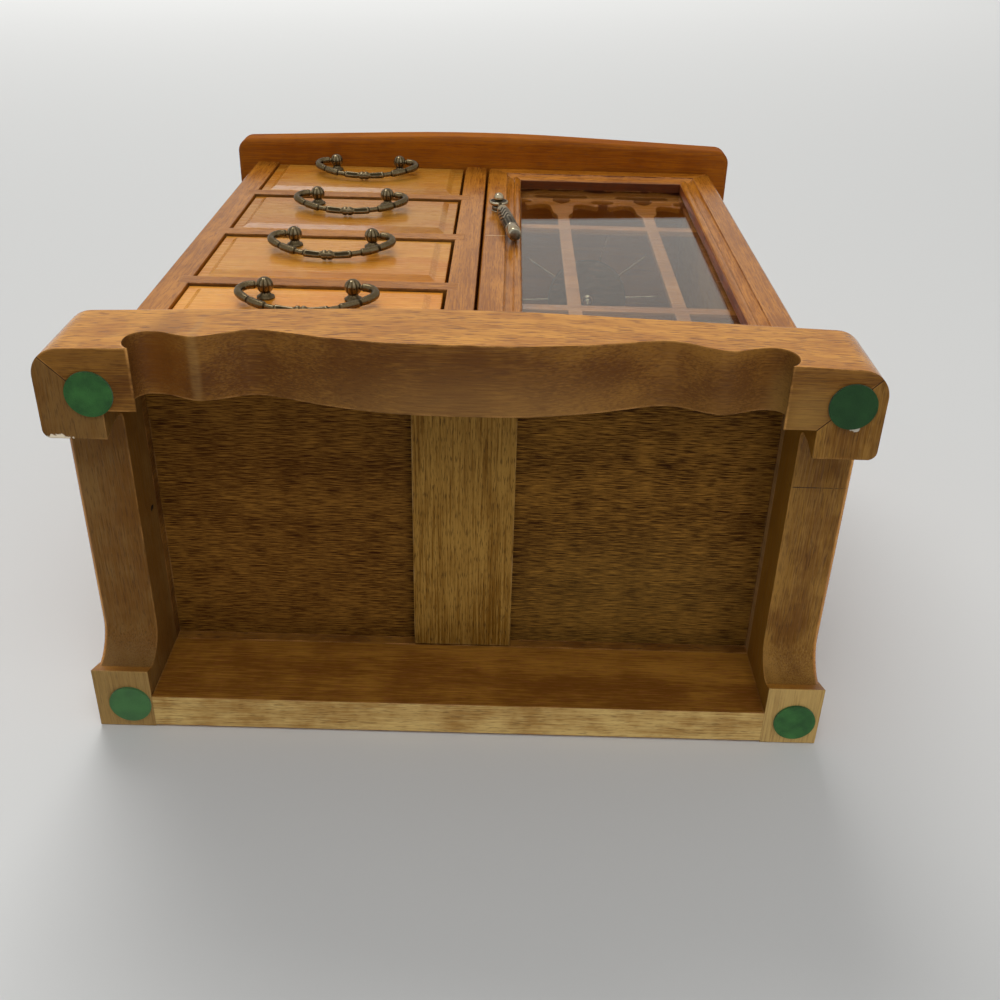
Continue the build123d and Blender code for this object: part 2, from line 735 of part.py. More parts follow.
def half_bail():
    """The right half of a bail, hanging straight down from X."""
    straight, curl, arm = bail_path()
    inner = PULL_SPACING / 2 + BALL_R - BAIL_PIN_IN
    half = tube(straight, BAIL_R) + tube(curl, BAIL_R) + tube(arm, BAIL_R)
    half += rod((inner, 0, 0), (1, 0, 0), BAIL_PIN_R, BAIL_PIN_IN + OVER)
    collar = COLLAR_L / arm.length / 2
    half += tube(arm.trim(*SLEEVE_SPAN), SLEEVE_R)
    for at in COLLARS_AT:
        half += tube(arm.trim(at - collar, at + collar), COLLAR_R)
    return half


def bail():
    """A whole bail with a bead at its middle, leaning back against the front."""
    half = half_bail()
    whole = half + mirror(half, Plane.YZ)
    whole += Pos(0, 0, -BAIL_DROP) * Sphere(BEAD_R)
    lean = math.asin((BALL_OUT - BEAD_R - BAIL_REST_GAP) / BAIL_DROP)
    return Rot(math.degrees(lean), 0, 0) * whole


def placed_bail(index, shape):
    """A bail on one drawer."""
    return Pos(X_PULL, Y_BALL, pull_height(index)) * shape


# ---------------------------------------------------------------------------
# Door frame, glass and retaining strips
# ---------------------------------------------------------------------------


def frame_section():
    """Section of a frame member: across from its outer edge, and back from its face."""
    quirk = (FRAME_FLAT, QUIRK_H)
    cove_end = (FRAME_FLAT + COVE_W, COVE_H)
    sight = (FRAME_W, SIGHT_H)
    lip = SIGHT_H + SIGHT_LIP
    hollow = (FRAME_FLAT + COVE_W * 0.4, COVE_H * 0.86)
    crown = ((cove_end[0] + FRAME_W) / 2, BEAD_DOWN)
    outline = (
        Line((DOOR_ARRIS_R, 0), (FRAME_FLAT, 0))
        + Line((FRAME_FLAT, 0), quirk)
        + ThreePointArc(quirk, hollow, cove_end)
        + ThreePointArc(cove_end, crown, sight)
        + Polyline(sight, (FRAME_W, lip), (FRAME_W - GLASS_REBATE, lip),
                   (FRAME_W - GLASS_REBATE, DOOR_T), (0, DOOR_T), (0, DOOR_ARRIS_R))
        + TangentArc((0, DOOR_ARRIS_R), (DOOR_ARRIS_R, 0), tangent=(0, -1))
    )
    return make_face(outline)


def frame_member(origin, inward, length):
    """A length of the frame moulding that starts at one corner of the door."""
    run = Vector(*inward).cross(Vector(0, 1, 0))
    plane = Plane(origin=origin, x_dir=inward, z_dir=tuple(run))
    return extrude(plane * frame_section(), length)


def mitred(member, corners):
    """The member cut to the four corners of its mitred outline."""
    return member & through_y(make_face(Polyline(*corners, close=True)), Y_CASE - OVER,
                              Y_CASE + DOOR_T + OVER)


def door_corners():
    """Outer and sight-line corners of the door."""
    outer = (X_DOOR, X_SIDE, Z_DOOR, Z_DOOR_TOP)
    inner = (X_DOOR + FRAME_W, X_SIDE - FRAME_W, Z_DOOR + FRAME_W, Z_DOOR_TOP - FRAME_W)
    return outer, inner


def door_stile_left():
    """The stile on the closing side."""
    (x0, _, z0, z1), (xi, _, zi0, zi1) = door_corners()
    stile = frame_member((x0, Y_CASE, z0), (1, 0, 0), z1 - z0)
    stile = mitred(stile, [(x0, z0), (xi, zi0), (xi, zi1), (x0, z1)])
    return stile - rod((X_DOOR + DROP_PULL_X, Y_CASE - OVER, Z_DOOR + DROP_PULL_Z), (0, 1, 0),
                       SHANK_R, SHANK_L + OVER)


def door_stile_right():
    """The hanging stile, cut for the hinges."""
    (_, x1, z0, z1), (_, xi, zi0, zi1) = door_corners()
    stile = frame_member((x1, Y_CASE, z1), (-1, 0, 0), z1 - z0)
    stile = mitred(stile, [(x1, z0), (xi, zi0), (xi, zi1), (x1, z1)])
    for z in HINGE_STARTS:
        stile -= hinge_clearance(z)
        stile -= leaf_mortise(z, door_leaf_y()[0], Y_CASE + DOOR_T + OVER)
    return stile


def door_rail_top():
    """The rail over the glass."""
    (x0, x1, _, z1), (xi0, xi1, _, zi) = door_corners()
    rail = frame_member((x0, Y_CASE, z1), (0, 0, -1), x1 - x0)
    return mitred(rail, [(x0, z1), (xi0, zi), (xi1, zi), (x1, z1)])


def door_rail_bottom():
    """The rail under the glass."""
    (x0, x1, z0, _), (xi0, xi1, zi, _) = door_corners()
    rail = frame_member((x1, Y_CASE, z0), (0, 0, 1), x1 - x0)
    return mitred(rail, [(x0, z0), (xi0, zi), (xi1, zi), (x1, z0)])


def glass_plan(slack):
    """Left, right, bottom and top of whatever lies in the glass rebate."""
    _, (x0, x1, z0, z1) = door_corners()
    grow = GLASS_REBATE - slack
    return x0 - grow, x1 + grow, z0 - grow, z1 + grow


def glass_depths():
    """Front faces of the glass, the tracery and the strips, and the strips' back."""
    glass = Y_CASE + SIGHT_H + SIGHT_LIP
    tracery = glass + GLASS_T + FRET_GAP
    strips = tracery + FRET_T
    return glass, tracery, strips, strips + STRIP_T


def door_glass():
    """The pane."""
    x0, x1, z0, z1 = glass_plan(GLASS_SLACK)
    y = glass_depths()[0]
    return block(x0, x1, y, y + GLASS_T, z0, z1)


def glass_retaining_strips():
    """Four square strips that hold the pane and the tracery in the rebate."""
    x0, x1, z0, z1 = glass_plan(GLASS_SLACK)
    _, _, y0, y1 = glass_depths()
    w = STRIP_W
    return [
        block(x0, x0 + w, y0, y1, z0, z1),
        block(x1 - w, x1, y0, y1, z0, z1),
        block(x0 + w, x1 - w, y0, y1, z0, z0 + w),
        block(x0 + w, x1 - w, y0, y1, z1 - w, z1),
    ]


# ---------------------------------------------------------------------------
# Tracery behind the glass
# ---------------------------------------------------------------------------


def frieze_unit(pitch):
    """Half a bay of the frieze, from a muntin's axis to the middle of the bay."""
    arch = FRIEZE_ARCH_Z
    crest = FRIEZE_CREST_Z
    half_bar = MUNTIN_W / 2
    neck = CAPITAL_Z - CAPITAL_NECK
    shoulder = (CAPITAL_HALF, CAPITAL_Z + CAPITAL_RISE)
    slit = pitch - KEYHOLE_IN
    lip = (slit, arch - 1.6)
    eye_low = (slit, arch + 0.8)
    eye_high = (slit, arch + KEYHOLE_TOP)
    web = (pitch, arch + KEYHOLE_TOP + 1.0)
    shoulder_top = (pitch, crest - FRIEZE_CREST_FALL)
    dip = (0, crest - FRIEZE_CREST_DIP)
    outline = Line((0, neck), (half_bar, neck))
    outline += Spline((half_bar, neck), (CAPITAL_HALF - 0.6, CAPITAL_Z + 3), shoulder,
                      tangents=[(0, 1), (0.1, 1)])
    outline += Spline(shoulder, (pitch * 0.5, arch), (pitch * 0.72, arch - 2.2),
                      (slit - 1.4, arch - 3.4), lip)
    outline += Line(lip, eye_low)
    outline += ThreePointArc(eye_low, (pitch - KEYHOLE_EYE_IN, arch + 4.2), eye_high)
    outline += Polyline(eye_high, web, shoulder_top)
    outline += Spline(shoulder_top, (pitch * 0.5, crest), dip, tangents=[(-1, 0), (-1, 0)])
    outline += Line(dip, (0, arch + BAY_SLOT_HIGH))
    slot_end = (BAY_SLOT_END + 2.5, arch + (BAY_SLOT_HIGH + BAY_SLOT_LOW) / 2)
    outline += Line((0, arch + BAY_SLOT_HIGH), (BAY_SLOT_END, arch + BAY_SLOT_HIGH))
    outline += ThreePointArc((BAY_SLOT_END, arch + BAY_SLOT_HIGH), slot_end,
                             (BAY_SLOT_END, arch + BAY_SLOT_LOW))
    spur = [(x, arch + h) for x, h in FRIEZE_SPUR]
    foot = [(x, arch + h) for x, h in FRIEZE_SPUR_FOOT]
    outline += Polyline((BAY_SLOT_END, arch + BAY_SLOT_LOW), *spur)
    outline += Spline(spur[-1], *foot)
    outline += Line(foot[-1], (0, neck))
    return make_face(outline)


def tracery_outline():
    """The whole tracery in X and Z, from the bottom left corner of the door."""
    outer, (x0, x1, _, _) = door_corners()
    pitch = (x1 - x0) / 4
    left, right, bottom, _ = glass_plan(GLASS_SLACK)
    unit = frieze_unit(pitch)
    flipped = mirror(unit, Plane.YZ)
    z = Z_DOOR
    axes = (x0 + pitch, x1 - pitch)
    muntin_h = z + CAPITAL_Z - 3.5 - bottom
    face = Sketch()
    for axis in axes:
        face += Pos(axis, z) * unit
        face += Pos(axis, z) * flipped
        face += Pos(axis, bottom + muntin_h / 2) * Rectangle(MUNTIN_W, muntin_h)
    for height in (UPPER_BAR_Z, LOWER_BAR_Z):
        face += Pos((left + right) / 2, z + height + BAR_H / 2) * Rectangle(right - left, BAR_H)
    tab_z0 = z + FRIEZE_ARCH_Z + KEYHOLE_TOP + 1.0
    tab_z1 = z + FRIEZE_CREST_Z - FRIEZE_CREST_FALL
    for a, b in ((left, x0 + 0.5), (x1 - 0.5, right)):
        face += Pos((a + b) / 2, (tab_z0 + tab_z1) / 2) * Rectangle(b - a, tab_z1 - tab_z0)
    return face


def door_fretwork():
    """The fretted panel of bars, arches and keyholes behind the glass."""
    _, y0, y1, _ = glass_depths()
    return through_y(tracery_outline(), y0, y1)


# ---------------------------------------------------------------------------
# Hinges and catch
# ---------------------------------------------------------------------------


def door_leaf_y():
    """Front and back of the leaf that is let into the door."""
    back = Y_HINGE - DOOR_GAP_BACK / 2 + 0.1
    return back - HINGE_LEAF_T, back


def case_leaf_y():
    """Front and back of the leaf that is let into the case side."""
    front = Y_HINGE + DOOR_GAP_BACK / 2 - 0.1
    return front, front + HINGE_LEAF_T


def knuckle(z0, z1, bore_r):
    """One round knuckle of a hinge barrel, bored for the pin."""
    up = (0, 0, 1)
    barrel = rod((X_HINGE, Y_HINGE, z0), up, HINGE_BARREL_R, z1 - z0)
    if bore_r > 0:
        barrel -= rod((X_HINGE, Y_HINGE, z0 - OVER), up, bore_r, z1 - z0 + 2 * OVER)
    return barrel


def door_hinge_leaf(z):
    """The door's leaf with the middle knuckle."""
    third = HINGE_L / 3
    y0, y1 = door_leaf_y()
    clear = HINGE_BARREL_R + HINGE_WOOD_GAP
    leaf = block(X_HINGE - HINGE_LEAF_W, X_HINGE - clear, y0, y1, z, z + HINGE_L)
    middle = (z + third + HINGE_KNUCKLE_GAP, z + 2 * third - HINGE_KNUCKLE_GAP)
    leaf += block(X_HINGE - clear, X_HINGE, y0, y1, *middle)
    bore = HINGE_PIN_R + HINGE_PIN_GAP
    leaf += knuckle(*middle, 0)
    return leaf - rod((X_HINGE, Y_HINGE, z), (0, 0, 1), bore, HINGE_L)


def case_hinge_leaf(z):
    """The case's leaf with the two outer knuckles and the pin."""
    third = HINGE_L / 3
    y0, y1 = case_leaf_y()
    clear = HINGE_BARREL_R + HINGE_WOOD_GAP
    leaf = block(X_HINGE - HINGE_LEAF_W, X_HINGE - clear, y0, y1, z, z + HINGE_L)
    for a, b in ((z, z + third), (z + 2 * third, z + HINGE_L)):
        leaf += block(X_HINGE - clear, X_HINGE, y0, y1, a, b)
        leaf += knuckle(a, b, 0)
    return leaf + rod((X_HINGE, Y_HINGE, z), (0, 0, 1), HINGE_PIN_R, HINGE_L)


def door_catch():
    """The magnet housing beside the partition, under the ceiling."""
    y0 = Y_CASE + DOOR_T + STRIKE_T + CATCH_GAP
    return block(
        X_PARTITION_R, X_PARTITION_R + CATCH_W, y0, y0 + CATCH_D, Z_CEILING - CATCH_H, Z_CEILING
    )


def door_strike():
    """The steel plate on the back of the door that meets the magnet."""
    y0 = Y_CASE + DOOR_T
    inset = 0.5
    return block(
        X_DOOR + inset, X_DOOR + inset + CATCH_W - 1.5, y0, y0 + STRIKE_T,
        Z_CEILING - CATCH_H + 1, Z_DOOR_TOP - 1
    )


# ---------------------------------------------------------------------------
# Door pull
# ---------------------------------------------------------------------------


def door_pull_post():
    """Shank, rosette, neck, flange and ball of the door's stud."""
    back, front = DROP_FLANGE_OUT, DROP_FLANGE_OUT + DROP_FLANGE_T
    rim = DROP_FLANGE_R
    stud = turned([(0, -SHANK_L), (SHANK_R, -SHANK_L), (SHANK_R, 0), (DROP_ROSETTE_R, 0),
                   (DROP_ROSETTE_R, DROP_ROSETTE_T), (DROP_NECK_R, DROP_ROSETTE_T),
                   (DROP_NECK_R, back), (rim * 0.72, back), (rim * 0.95, back + 0.6),
                   (rim, front - 0.5), (rim * 0.93, front), (rim * 0.6, front - 0.4),
                   (0, front - 0.4)])
    stud += Pos(0, 0, DROP_BALL_OUT) * Sphere(DROP_BALL_R)
    return facing_front(stud, X_DOOR + DROP_PULL_X, Y_CASE, Z_DOOR + DROP_PULL_Z)


def drop_stem_top():
    """Height of the stem's top under the stud, clear of the flange."""
    return -DROP_FLANGE_R - METAL_GAP


def drop_body():
    """The turned drop, hanging down from the eye at z = 0."""
    stem, ring, body, end = DROP_STEM_R, DROP_RING_R, DROP_BODY_R, DROP_END_R
    waist = body * 0.82
    top = drop_stem_top()
    ring_at, body_at, band_at, end_at = -DROP_RING_AT, -DROP_BODY_AT, -DROP_BAND_AT, -DROP_END_AT
    return turned([
        (0, top), (stem, top), (stem, ring_at + 2.6), (ring * 0.85, ring_at + 1.4), (ring, ring_at + 0.5),
        (ring, ring_at - 0.5), (waist, ring_at - 1.3), (waist, body_at + 0.6), (body, body_at),
        (end, band_at + 1.0), (waist, band_at + 0.4), (waist, band_at - 0.4), (end, band_at - 1.0),
        (end, end_at + 0.5), (end * 0.9, end_at), (end, end_at - 0.4), (end * 0.92, end_at - 1.1),
        (end * 0.6, end_at - 2.1), (0, -DROP_L),
    ])


def door_pull_drop():
    """The drop with the eye that rides on the stud's neck."""
    eye_back = Y_CASE - DROP_ROSETTE_T - METAL_GAP
    eye_front = eye_back - DROP_EYE_T
    axis_y = Y_CASE - DROP_AXIS_OUT
    stem_top = drop_stem_top()
    drop = Pos(0, axis_y, 0) * drop_body()
    drop += rod((0, eye_back, 0), (0, -1, 0), DROP_EYE_R, DROP_EYE_T)
    half = DROP_STEM_R * 0.8
    drop += block(-half, half, eye_front, eye_back, stem_top - 1, -DROP_EYE_R * 0.8)
    drop += block(-half, half, axis_y, eye_back, stem_top - 1, stem_top)
    drop -= rod((0, eye_back + OVER, 0), (0, -1, 0), DROP_NECK_R + DROP_EYE_GAP,
                DROP_EYE_T + 2 * OVER)
    x, z = X_DOOR + DROP_PULL_X, Z_DOOR + DROP_PULL_Z
    return Pos(x, 0, z) * Rot(0, -DROP_SWING, 0) * drop


# ---------------------------------------------------------------------------
# Carousel
# ---------------------------------------------------------------------------


def carousel_levels():
    """Top and bottom of the disc, and the height of the hooks."""
    top = Z_CEILING - DISC_DOWN
    return top, top - DISC_T, top - DISC_T / 2


def carousel_pivot():
    """The fixed pin with its collar against the ceiling."""
    down = (0, 0, -1)
    reach = DISC_DOWN + DISC_T + CAROUSEL_LIFT + FINIAL_GRIP
    pin = rod((X_CAROUSEL, Y_CAROUSEL, Z_CEILING + PIVOT_SINK), down, PIVOT_R, PIVOT_SINK + reach)
    collar = rod(
        (X_CAROUSEL, Y_CAROUSEL, Z_CEILING), down, PIVOT_COLLAR_R, DISC_DOWN - CAROUSEL_LIFT
    )
    return pin + collar


def carousel_finial():
    """The acorn nut under the disc, screwed on the pin."""
    top = carousel_levels()[1] - CAROUSEL_LIFT
    acorn = turned([(0, 0), (FINIAL_R, 0), (FINIAL_R, -1.0), (FINIAL_R * 0.6, -1.8),
                    (FINIAL_R * 0.8, -3.0), (FINIAL_R * 0.75, -4.6), (FINIAL_R * 0.3, -6.2),
                    (0, -FINIAL_L)])
    acorn = Pos(X_CAROUSEL, Y_CAROUSEL, top) * acorn
    return acorn - rod((X_CAROUSEL, Y_CAROUSEL, top), (0, 0, -1), PIVOT_R, FINIAL_GRIP)


def hook_wire():
    """One hook, running out along X from the disc's rim and turned up at its tip."""
    end = HOOK_TIP_R - HOOK_BEND_R
    start = DISC_R - HOOK_ROOT_IN
    shank = rod((start, 0, 0), (1, 0, 0), HOOK_WIRE_R, end - start)
    bend = tube(
        TangentArc((end, 0, 0), (HOOK_TIP_R, 0, HOOK_BEND_R), tangent=(1, 0, 0)), HOOK_WIRE_R
    )
    tip = rod((HOOK_TIP_R, 0, HOOK_BEND_R), (0, 0, 1), HOOK_WIRE_R, HOOK_RISE)
    return shank + bend + tip


def around_carousel(shape):
    """Copies of a shape at each hook's place."""
    centre = Pos(X_CAROUSEL, Y_CAROUSEL, carousel_levels()[2])
    step = 360 / HOOKS
    return [centre * Rot(0, 0, FIRST_HOOK + i * step) * shape for i in range(HOOKS)]


def carousel_disc():
    """The turned disc, bored for the pivot and for the hooks."""
    top, bottom, _ = carousel_levels()
    disc = rod((X_CAROUSEL, Y_CAROUSEL, bottom), (0, 0, 1), DISC_R, DISC_T)
    disc = fillet(disc.edges(), DISC_EDGE_R)
    disc -= rod((X_CAROUSEL, Y_CAROUSEL, bottom - OVER), (0, 0, 1), PIVOT_R + PIVOT_GAP,
                DISC_T + 2 * OVER)
    hole = rod((DISC_R - HOOK_ROOT_IN, 0, 0), (1, 0, 0), HOOK_WIRE_R, HOOK_ROOT_IN + OVER)
    for bore in around_carousel(hole):
        disc -= bore
    return disc


# ---------------------------------------------------------------------------
# Write every piece
# ---------------------------------------------------------------------------


def save(name, shape):
    """Writes one piece, or one group of like pieces, as a STEP file."""
    pieces = shape if isinstance(shape, list) else [shape]
    solids = [solid for piece in pieces for solid in piece.solids()]
    whole = solids[0] if len(solids) == 1 else Compound(children=solids)
    export_step(whole, f"parts/{name}.step")


def main():
    """Builds the cabinet piece by piece."""
    front, left, right = base_aprons()
    save("base_front_apron", front)
    save("base_side_apron_left", left)
    save("base_side_apron_right", right)
    save("base_back_rail", base_back_rail())
    save("felt_pads", felt_pads())
    save("side_panel_left", side_panel_left())
    save("side_panel_right", side_panel_right())
    save("centre_partition", centre_partition())
    save("drawer_dividers", drawer_dividers())
    save("front_sill", front_sill())
    save("back_sill", back_sill())
    save("floor_panel", floor_panel())
    save("floor_batten", floor_batten())
    save("back_panel", back_panel())
    save("top_board", top_board())
    save("case_hinge_leaves", [case_hinge_leaf(z) for z in HINGE_STARTS])
    save("door_catch", door_catch())
    save("carousel_pivot", carousel_pivot())
    save("carousel_finial", carousel_finial())
    save("carousel_disc", carousel_disc())
    save("carousel_hooks", around_carousel(hook_wire()))
    swinging = bail()
    for index in range(DRAWERS):
        name = f"drawer_{index + 1}"
        save(f"{name}_front", drawer_front(index))
        save(f"{name}_sides", drawer_sides(index))
        save(f"{name}_back", drawer_back(index))
        save(f"{name}_bottom", drawer_bottom(index))
        save(f"{name}_lining", drawer_lining(index))
        save(f"{name}_pull_posts", pull_posts(index))
        save(f"{name}_bail", placed_bail(index, swinging))
    save("door_stile_left", door_stile_left())
    save("door_stile_right", door_stile_right())
    save("door_rail_top", door_rail_top())
    save("door_rail_bottom", door_rail_bottom())
    save("door_glass", door_glass())
    save("glass_retaining_strips", glass_retaining_strips())
    save("door_fretwork", door_fretwork())
    save("door_hinge_leaves", [door_hinge_leaf(z) for z in HINGE_STARTS])
    save("door_strike", door_strike())
    save("door_pull_post", door_pull_post())
    save("door_pull_drop", door_pull_drop())


main()
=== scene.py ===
import json
import math

import bpy
from bpy.props import FloatProperty, FloatVectorProperty, IntProperty, PointerProperty
from mathutils import Matrix, Vector


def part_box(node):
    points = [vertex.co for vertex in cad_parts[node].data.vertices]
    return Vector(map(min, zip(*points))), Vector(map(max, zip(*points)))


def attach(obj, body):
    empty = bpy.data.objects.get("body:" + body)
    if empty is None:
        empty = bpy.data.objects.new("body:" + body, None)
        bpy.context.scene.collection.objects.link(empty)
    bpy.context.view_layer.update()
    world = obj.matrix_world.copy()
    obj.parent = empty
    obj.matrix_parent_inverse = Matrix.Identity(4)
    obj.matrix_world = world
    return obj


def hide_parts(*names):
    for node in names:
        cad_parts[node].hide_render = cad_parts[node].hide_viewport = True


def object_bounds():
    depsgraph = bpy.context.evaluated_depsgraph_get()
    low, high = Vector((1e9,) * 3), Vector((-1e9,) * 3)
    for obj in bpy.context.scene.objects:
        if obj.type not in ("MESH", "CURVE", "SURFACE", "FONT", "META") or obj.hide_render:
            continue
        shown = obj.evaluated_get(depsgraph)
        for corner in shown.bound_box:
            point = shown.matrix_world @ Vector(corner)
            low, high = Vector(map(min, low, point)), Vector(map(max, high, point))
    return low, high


bl_info = {
    "name": "Jewellery Cabinet",
    "version": (1, 0, 0),
    "blender": (4, 5, 0),
    "location": "3D View > Sidebar > Cabinet",
    "description": "Finishes a tabletop jewellery cabinet in lacquered wood, antique brass, glass and felt",
    "category": "Object",
}

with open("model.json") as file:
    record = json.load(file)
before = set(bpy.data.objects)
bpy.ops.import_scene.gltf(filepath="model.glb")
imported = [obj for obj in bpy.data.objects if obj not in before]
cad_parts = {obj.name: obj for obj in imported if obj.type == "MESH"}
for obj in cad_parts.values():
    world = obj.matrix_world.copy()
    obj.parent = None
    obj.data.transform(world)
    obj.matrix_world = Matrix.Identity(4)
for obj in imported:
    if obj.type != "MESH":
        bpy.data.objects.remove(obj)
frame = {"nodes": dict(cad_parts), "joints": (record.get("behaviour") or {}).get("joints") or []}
CAD_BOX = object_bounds()
LOW, HIGH = CAD_BOX
NODES = frame["nodes"]
JOINTS = {joint["name"]: joint for joint in frame["joints"]}
DRAWERS = ["drawer_1", "drawer_2", "drawer_3", "drawer_4"]
MM = 0.001
TURN = 2 * math.pi
BASE_DEPTH = 0.1574
BASE_FRONT = HIGH.y - BASE_DEPTH

# Sizes and colours that a user may change


def colour(name, description, default):
    """A colour property."""
    return FloatVectorProperty(
        name=name, description=description, default=default, subtype="COLOR", min=0, max=1, size=3
    )


def length(name, description, default_mm):
    """A length property, given in millimetres."""
    return FloatProperty(
        name=name, description=description, default=default_mm * MM, subtype="DISTANCE", unit="LENGTH"
    )


def power(name, description, default):
    """The power of a lamp."""
    return FloatProperty(name=name, description=description, default=default, min=0, unit="POWER")


class CabinetWoodSettings(bpy.types.PropertyGroup):
    """Colours and wear of the wood."""

    base_dark: colour("Base, dark", "Darker grain of the lacquered base", (0.37, 0.130, 0.011))
    base_light: colour("Base, light", "Lighter grain of the lacquered base", (0.61, 0.265, 0.032))
    case_dark: colour("Case, dark", "Darker grain of the lacquered case", (0.27, 0.084, 0.005))
    case_light: colour("Case, light", "Lighter grain of the lacquered case", (0.48, 0.180, 0.018))
    drawer_dark: colour("Drawer fronts, dark", "Darker grain of the drawer fronts", (0.80, 0.275, 0.018))
    drawer_light: colour("Drawer fronts, light", "Lighter grain of the drawer fronts", (0.94, 0.42, 0.055))
    # The top board's rim is darker than the case wood: painted shade on its front and underside under the
    # overhang.
    top_dark: colour("Top, dark", "Darker grain of the top board's rim", (0.225, 0.055, 0.001))
    top_light: colour("Top, light", "Lighter grain of the top board's rim", (0.36, 0.105, 0.003))
    raw_dark: colour("Bare wood, dark", "Darker grain of the unlacquered undersides", (0.11, 0.036, 0.0015))
    raw_light: colour("Bare wood, light", "Lighter grain of the unlacquered undersides", (0.235, 0.10, 0.012))
    # The pale wood is partly paler bare wood and partly painted bounce light, on the back rail's underside and
    # the back feet.
    pale_dark: colour("Pale wood, dark", "Darker grain of the back rail's underside", (0.30, 0.155, 0.034))
    pale_light: colour("Pale wood, light", "Lighter grain of the back rail's underside", (0.55, 0.37, 0.125))
    ply_dark: colour("Plywood, dark", "Stained ground of the plywood", (0.028, 0.007, 0.0004))
    ply_light: colour("Plywood, light", "Pale streaks of the plywood", (0.30, 0.138, 0.021))
    edge_wear: FloatProperty(
        name="Edge wear", description="How far the edges are rubbed pale", default=0.75, min=0, max=1,
        subtype="FACTOR",
    )
    arris: length("Arris", "Radius that the eye reads on a sharp wooden edge", 0.7)


class CabinetMetalSettings(bpy.types.PropertyGroup):
    """Colours and sizes of the metalwork."""

    patina: colour("Patina", "Dark hollows of the antique brass", (0.035, 0.025, 0.012))
    bronze: colour("Bronze", "Body colour of the antique brass", (0.15, 0.112, 0.058))
    rubbed: colour("Rubbed", "High points of the antique brass", (0.55, 0.46, 0.30))
    bright: colour("Bright brass", "Polished brass of hooks and hinges", (1.0, 0.86, 0.55))
    spacing: length("Post spacing", "Distance between the two posts of a drawer pull", 33.5)
    drop: length("Bail drop", "How far a bail hangs below its pivot", 20.0)
    reach: length("Bail reach", "Half the width of a bail at its shoulder", 24.8)
    shoulder: length("Bail shoulder", "How far below the pivot a bail is widest", 8.0)
    ball: length("Ball", "Radius of the balls on the drawer posts", 3.25)
    lobes: IntProperty(name="Lobes", description="Lobes around each ball", default=10, min=4, max=24)


class CabinetStageSettings(bpy.types.PropertyGroup):
    """Floor and light."""

    floor: colour("Floor", "Colour of the floor and the backdrop", (0.62, 0.62, 0.605))
    ambient: FloatProperty(name="Ambient", description="Strength of the even light", default=0.36, min=0)
    key: power("Key", "Power of the large front lamp", 300.0)
    window: power("Window", "Power of the lamp seen in the gloss", 5.5)
    top: power("Top", "Power of the lamp overhead", 10.0)


# Shader trees


class Tree:
    """Short calls that add nodes to one shader tree."""

    def __init__(self, tree):
        self.tree = tree

    def fill(self, node, inputs):
        """Sets or links a node's inputs; a colour may come without its alpha."""
        for key, value in inputs.items():
            socket = node.inputs[key]
            if isinstance(value, bpy.types.NodeSocket):
                self.tree.links.new(value, socket)
            elif socket.type == "RGBA":
                socket.default_value = (*value[:3], 1.0)
            else:
                socket.default_value = value
        return node

    def add(self, kind, inputs=None, **settings):
        """A node with its settings, constants and links."""
        node = self.tree.nodes.new(kind)
        for key, value in settings.items():
            setattr(node, key, value)
        return self.fill(node, inputs or {})

    def math(self, operation, *values, clamp=False):
        """One arithmetic step."""
        node = self.add("ShaderNodeMath", dict(enumerate(values)), operation=operation, use_clamp=clamp)
        return node.outputs[0]

    def plus(self, a, b):
        """A sum."""
        return self.math("ADD", a, b)

    def minus(self, a, b):
        """A difference."""
        return self.math("SUBTRACT", a, b)

    def times(self, a, b, clamp=False):
        """A product."""
        return self.math("MULTIPLY", a, b, clamp=clamp)

    def vector(self, operation, *values):
        """One vector step."""
        node = self.add("ShaderNodeVectorMath", dict(enumerate(values)), operation=operation)
        return node.outputs["Value" if operation in ("DOT_PRODUCT", "LENGTH") else "Vector"]

    def split(self, vector):
        """The three parts of a vector."""
        return self.add("ShaderNodeSeparateXYZ", {0: vector}).outputs

    def join(self, *parts):
        """A vector from its three parts."""
        return self.add("ShaderNodeCombineXYZ", dict(enumerate(parts))).outputs[0]

    def mix(self, factor, a, b):
        """A blend of two colours."""
        return self.add("ShaderNodeMix", {0: factor, 6: a, 7: b}, data_type="RGBA").outputs[2]

    def blend(self, factor, a, b):
        """A blend of two numbers."""
        return self.add("ShaderNodeMix", {0: factor, 2: a, 3: b}, data_type="FLOAT").outputs[0]

    def ramp(self, value, low, high, out_low=0.0, out_high=1.0):
        """A value mapped smoothly from one range to another, clamped."""
        ends = {"Value": value, "From Min": low, "From Max": high, "To Min": out_low, "To Max": out_high}
        return self.add("ShaderNodeMapRange", ends, interpolation_type="SMOOTHSTEP").outputs["Result"]

    def noise(self, vector, scale, detail=2.0, roughness=0.5):
        """Plain noise around one half."""
        values = {"Vector": vector, "Scale": scale, "Detail": detail, "Roughness": roughness}
        return self.add("ShaderNodeTexNoise", values).outputs["Fac"]

    def bump(self, strength, depth, height, **normal):
        """A normal tilted by a height."""
        values = {"Strength": strength, "Distance": depth, "Height": height, **normal}
        return self.add("ShaderNodeBump", values).outputs[0]

    def group(self, name, **inputs):
        """A shared group placed with its own values; it is built the first time that it is asked for."""
        node = self.add("ShaderNodeGroup", node_tree=bpy.data.node_groups.get(name) or GROUPS[name](name))
        return self.fill(node, {key.replace("_", " ").title(): value for key, value in inputs.items()}).outputs

    def facing(self):
        """The piece's own normal."""
        return self.add("ShaderNodeNewGeometry").outputs["Normal"]

    def toward(self, axis, sign, low, high):
        """A mask of the faces that look one way along an axis."""
        return self.ramp(self.times(self.split(self.facing())[axis], sign), low, high)


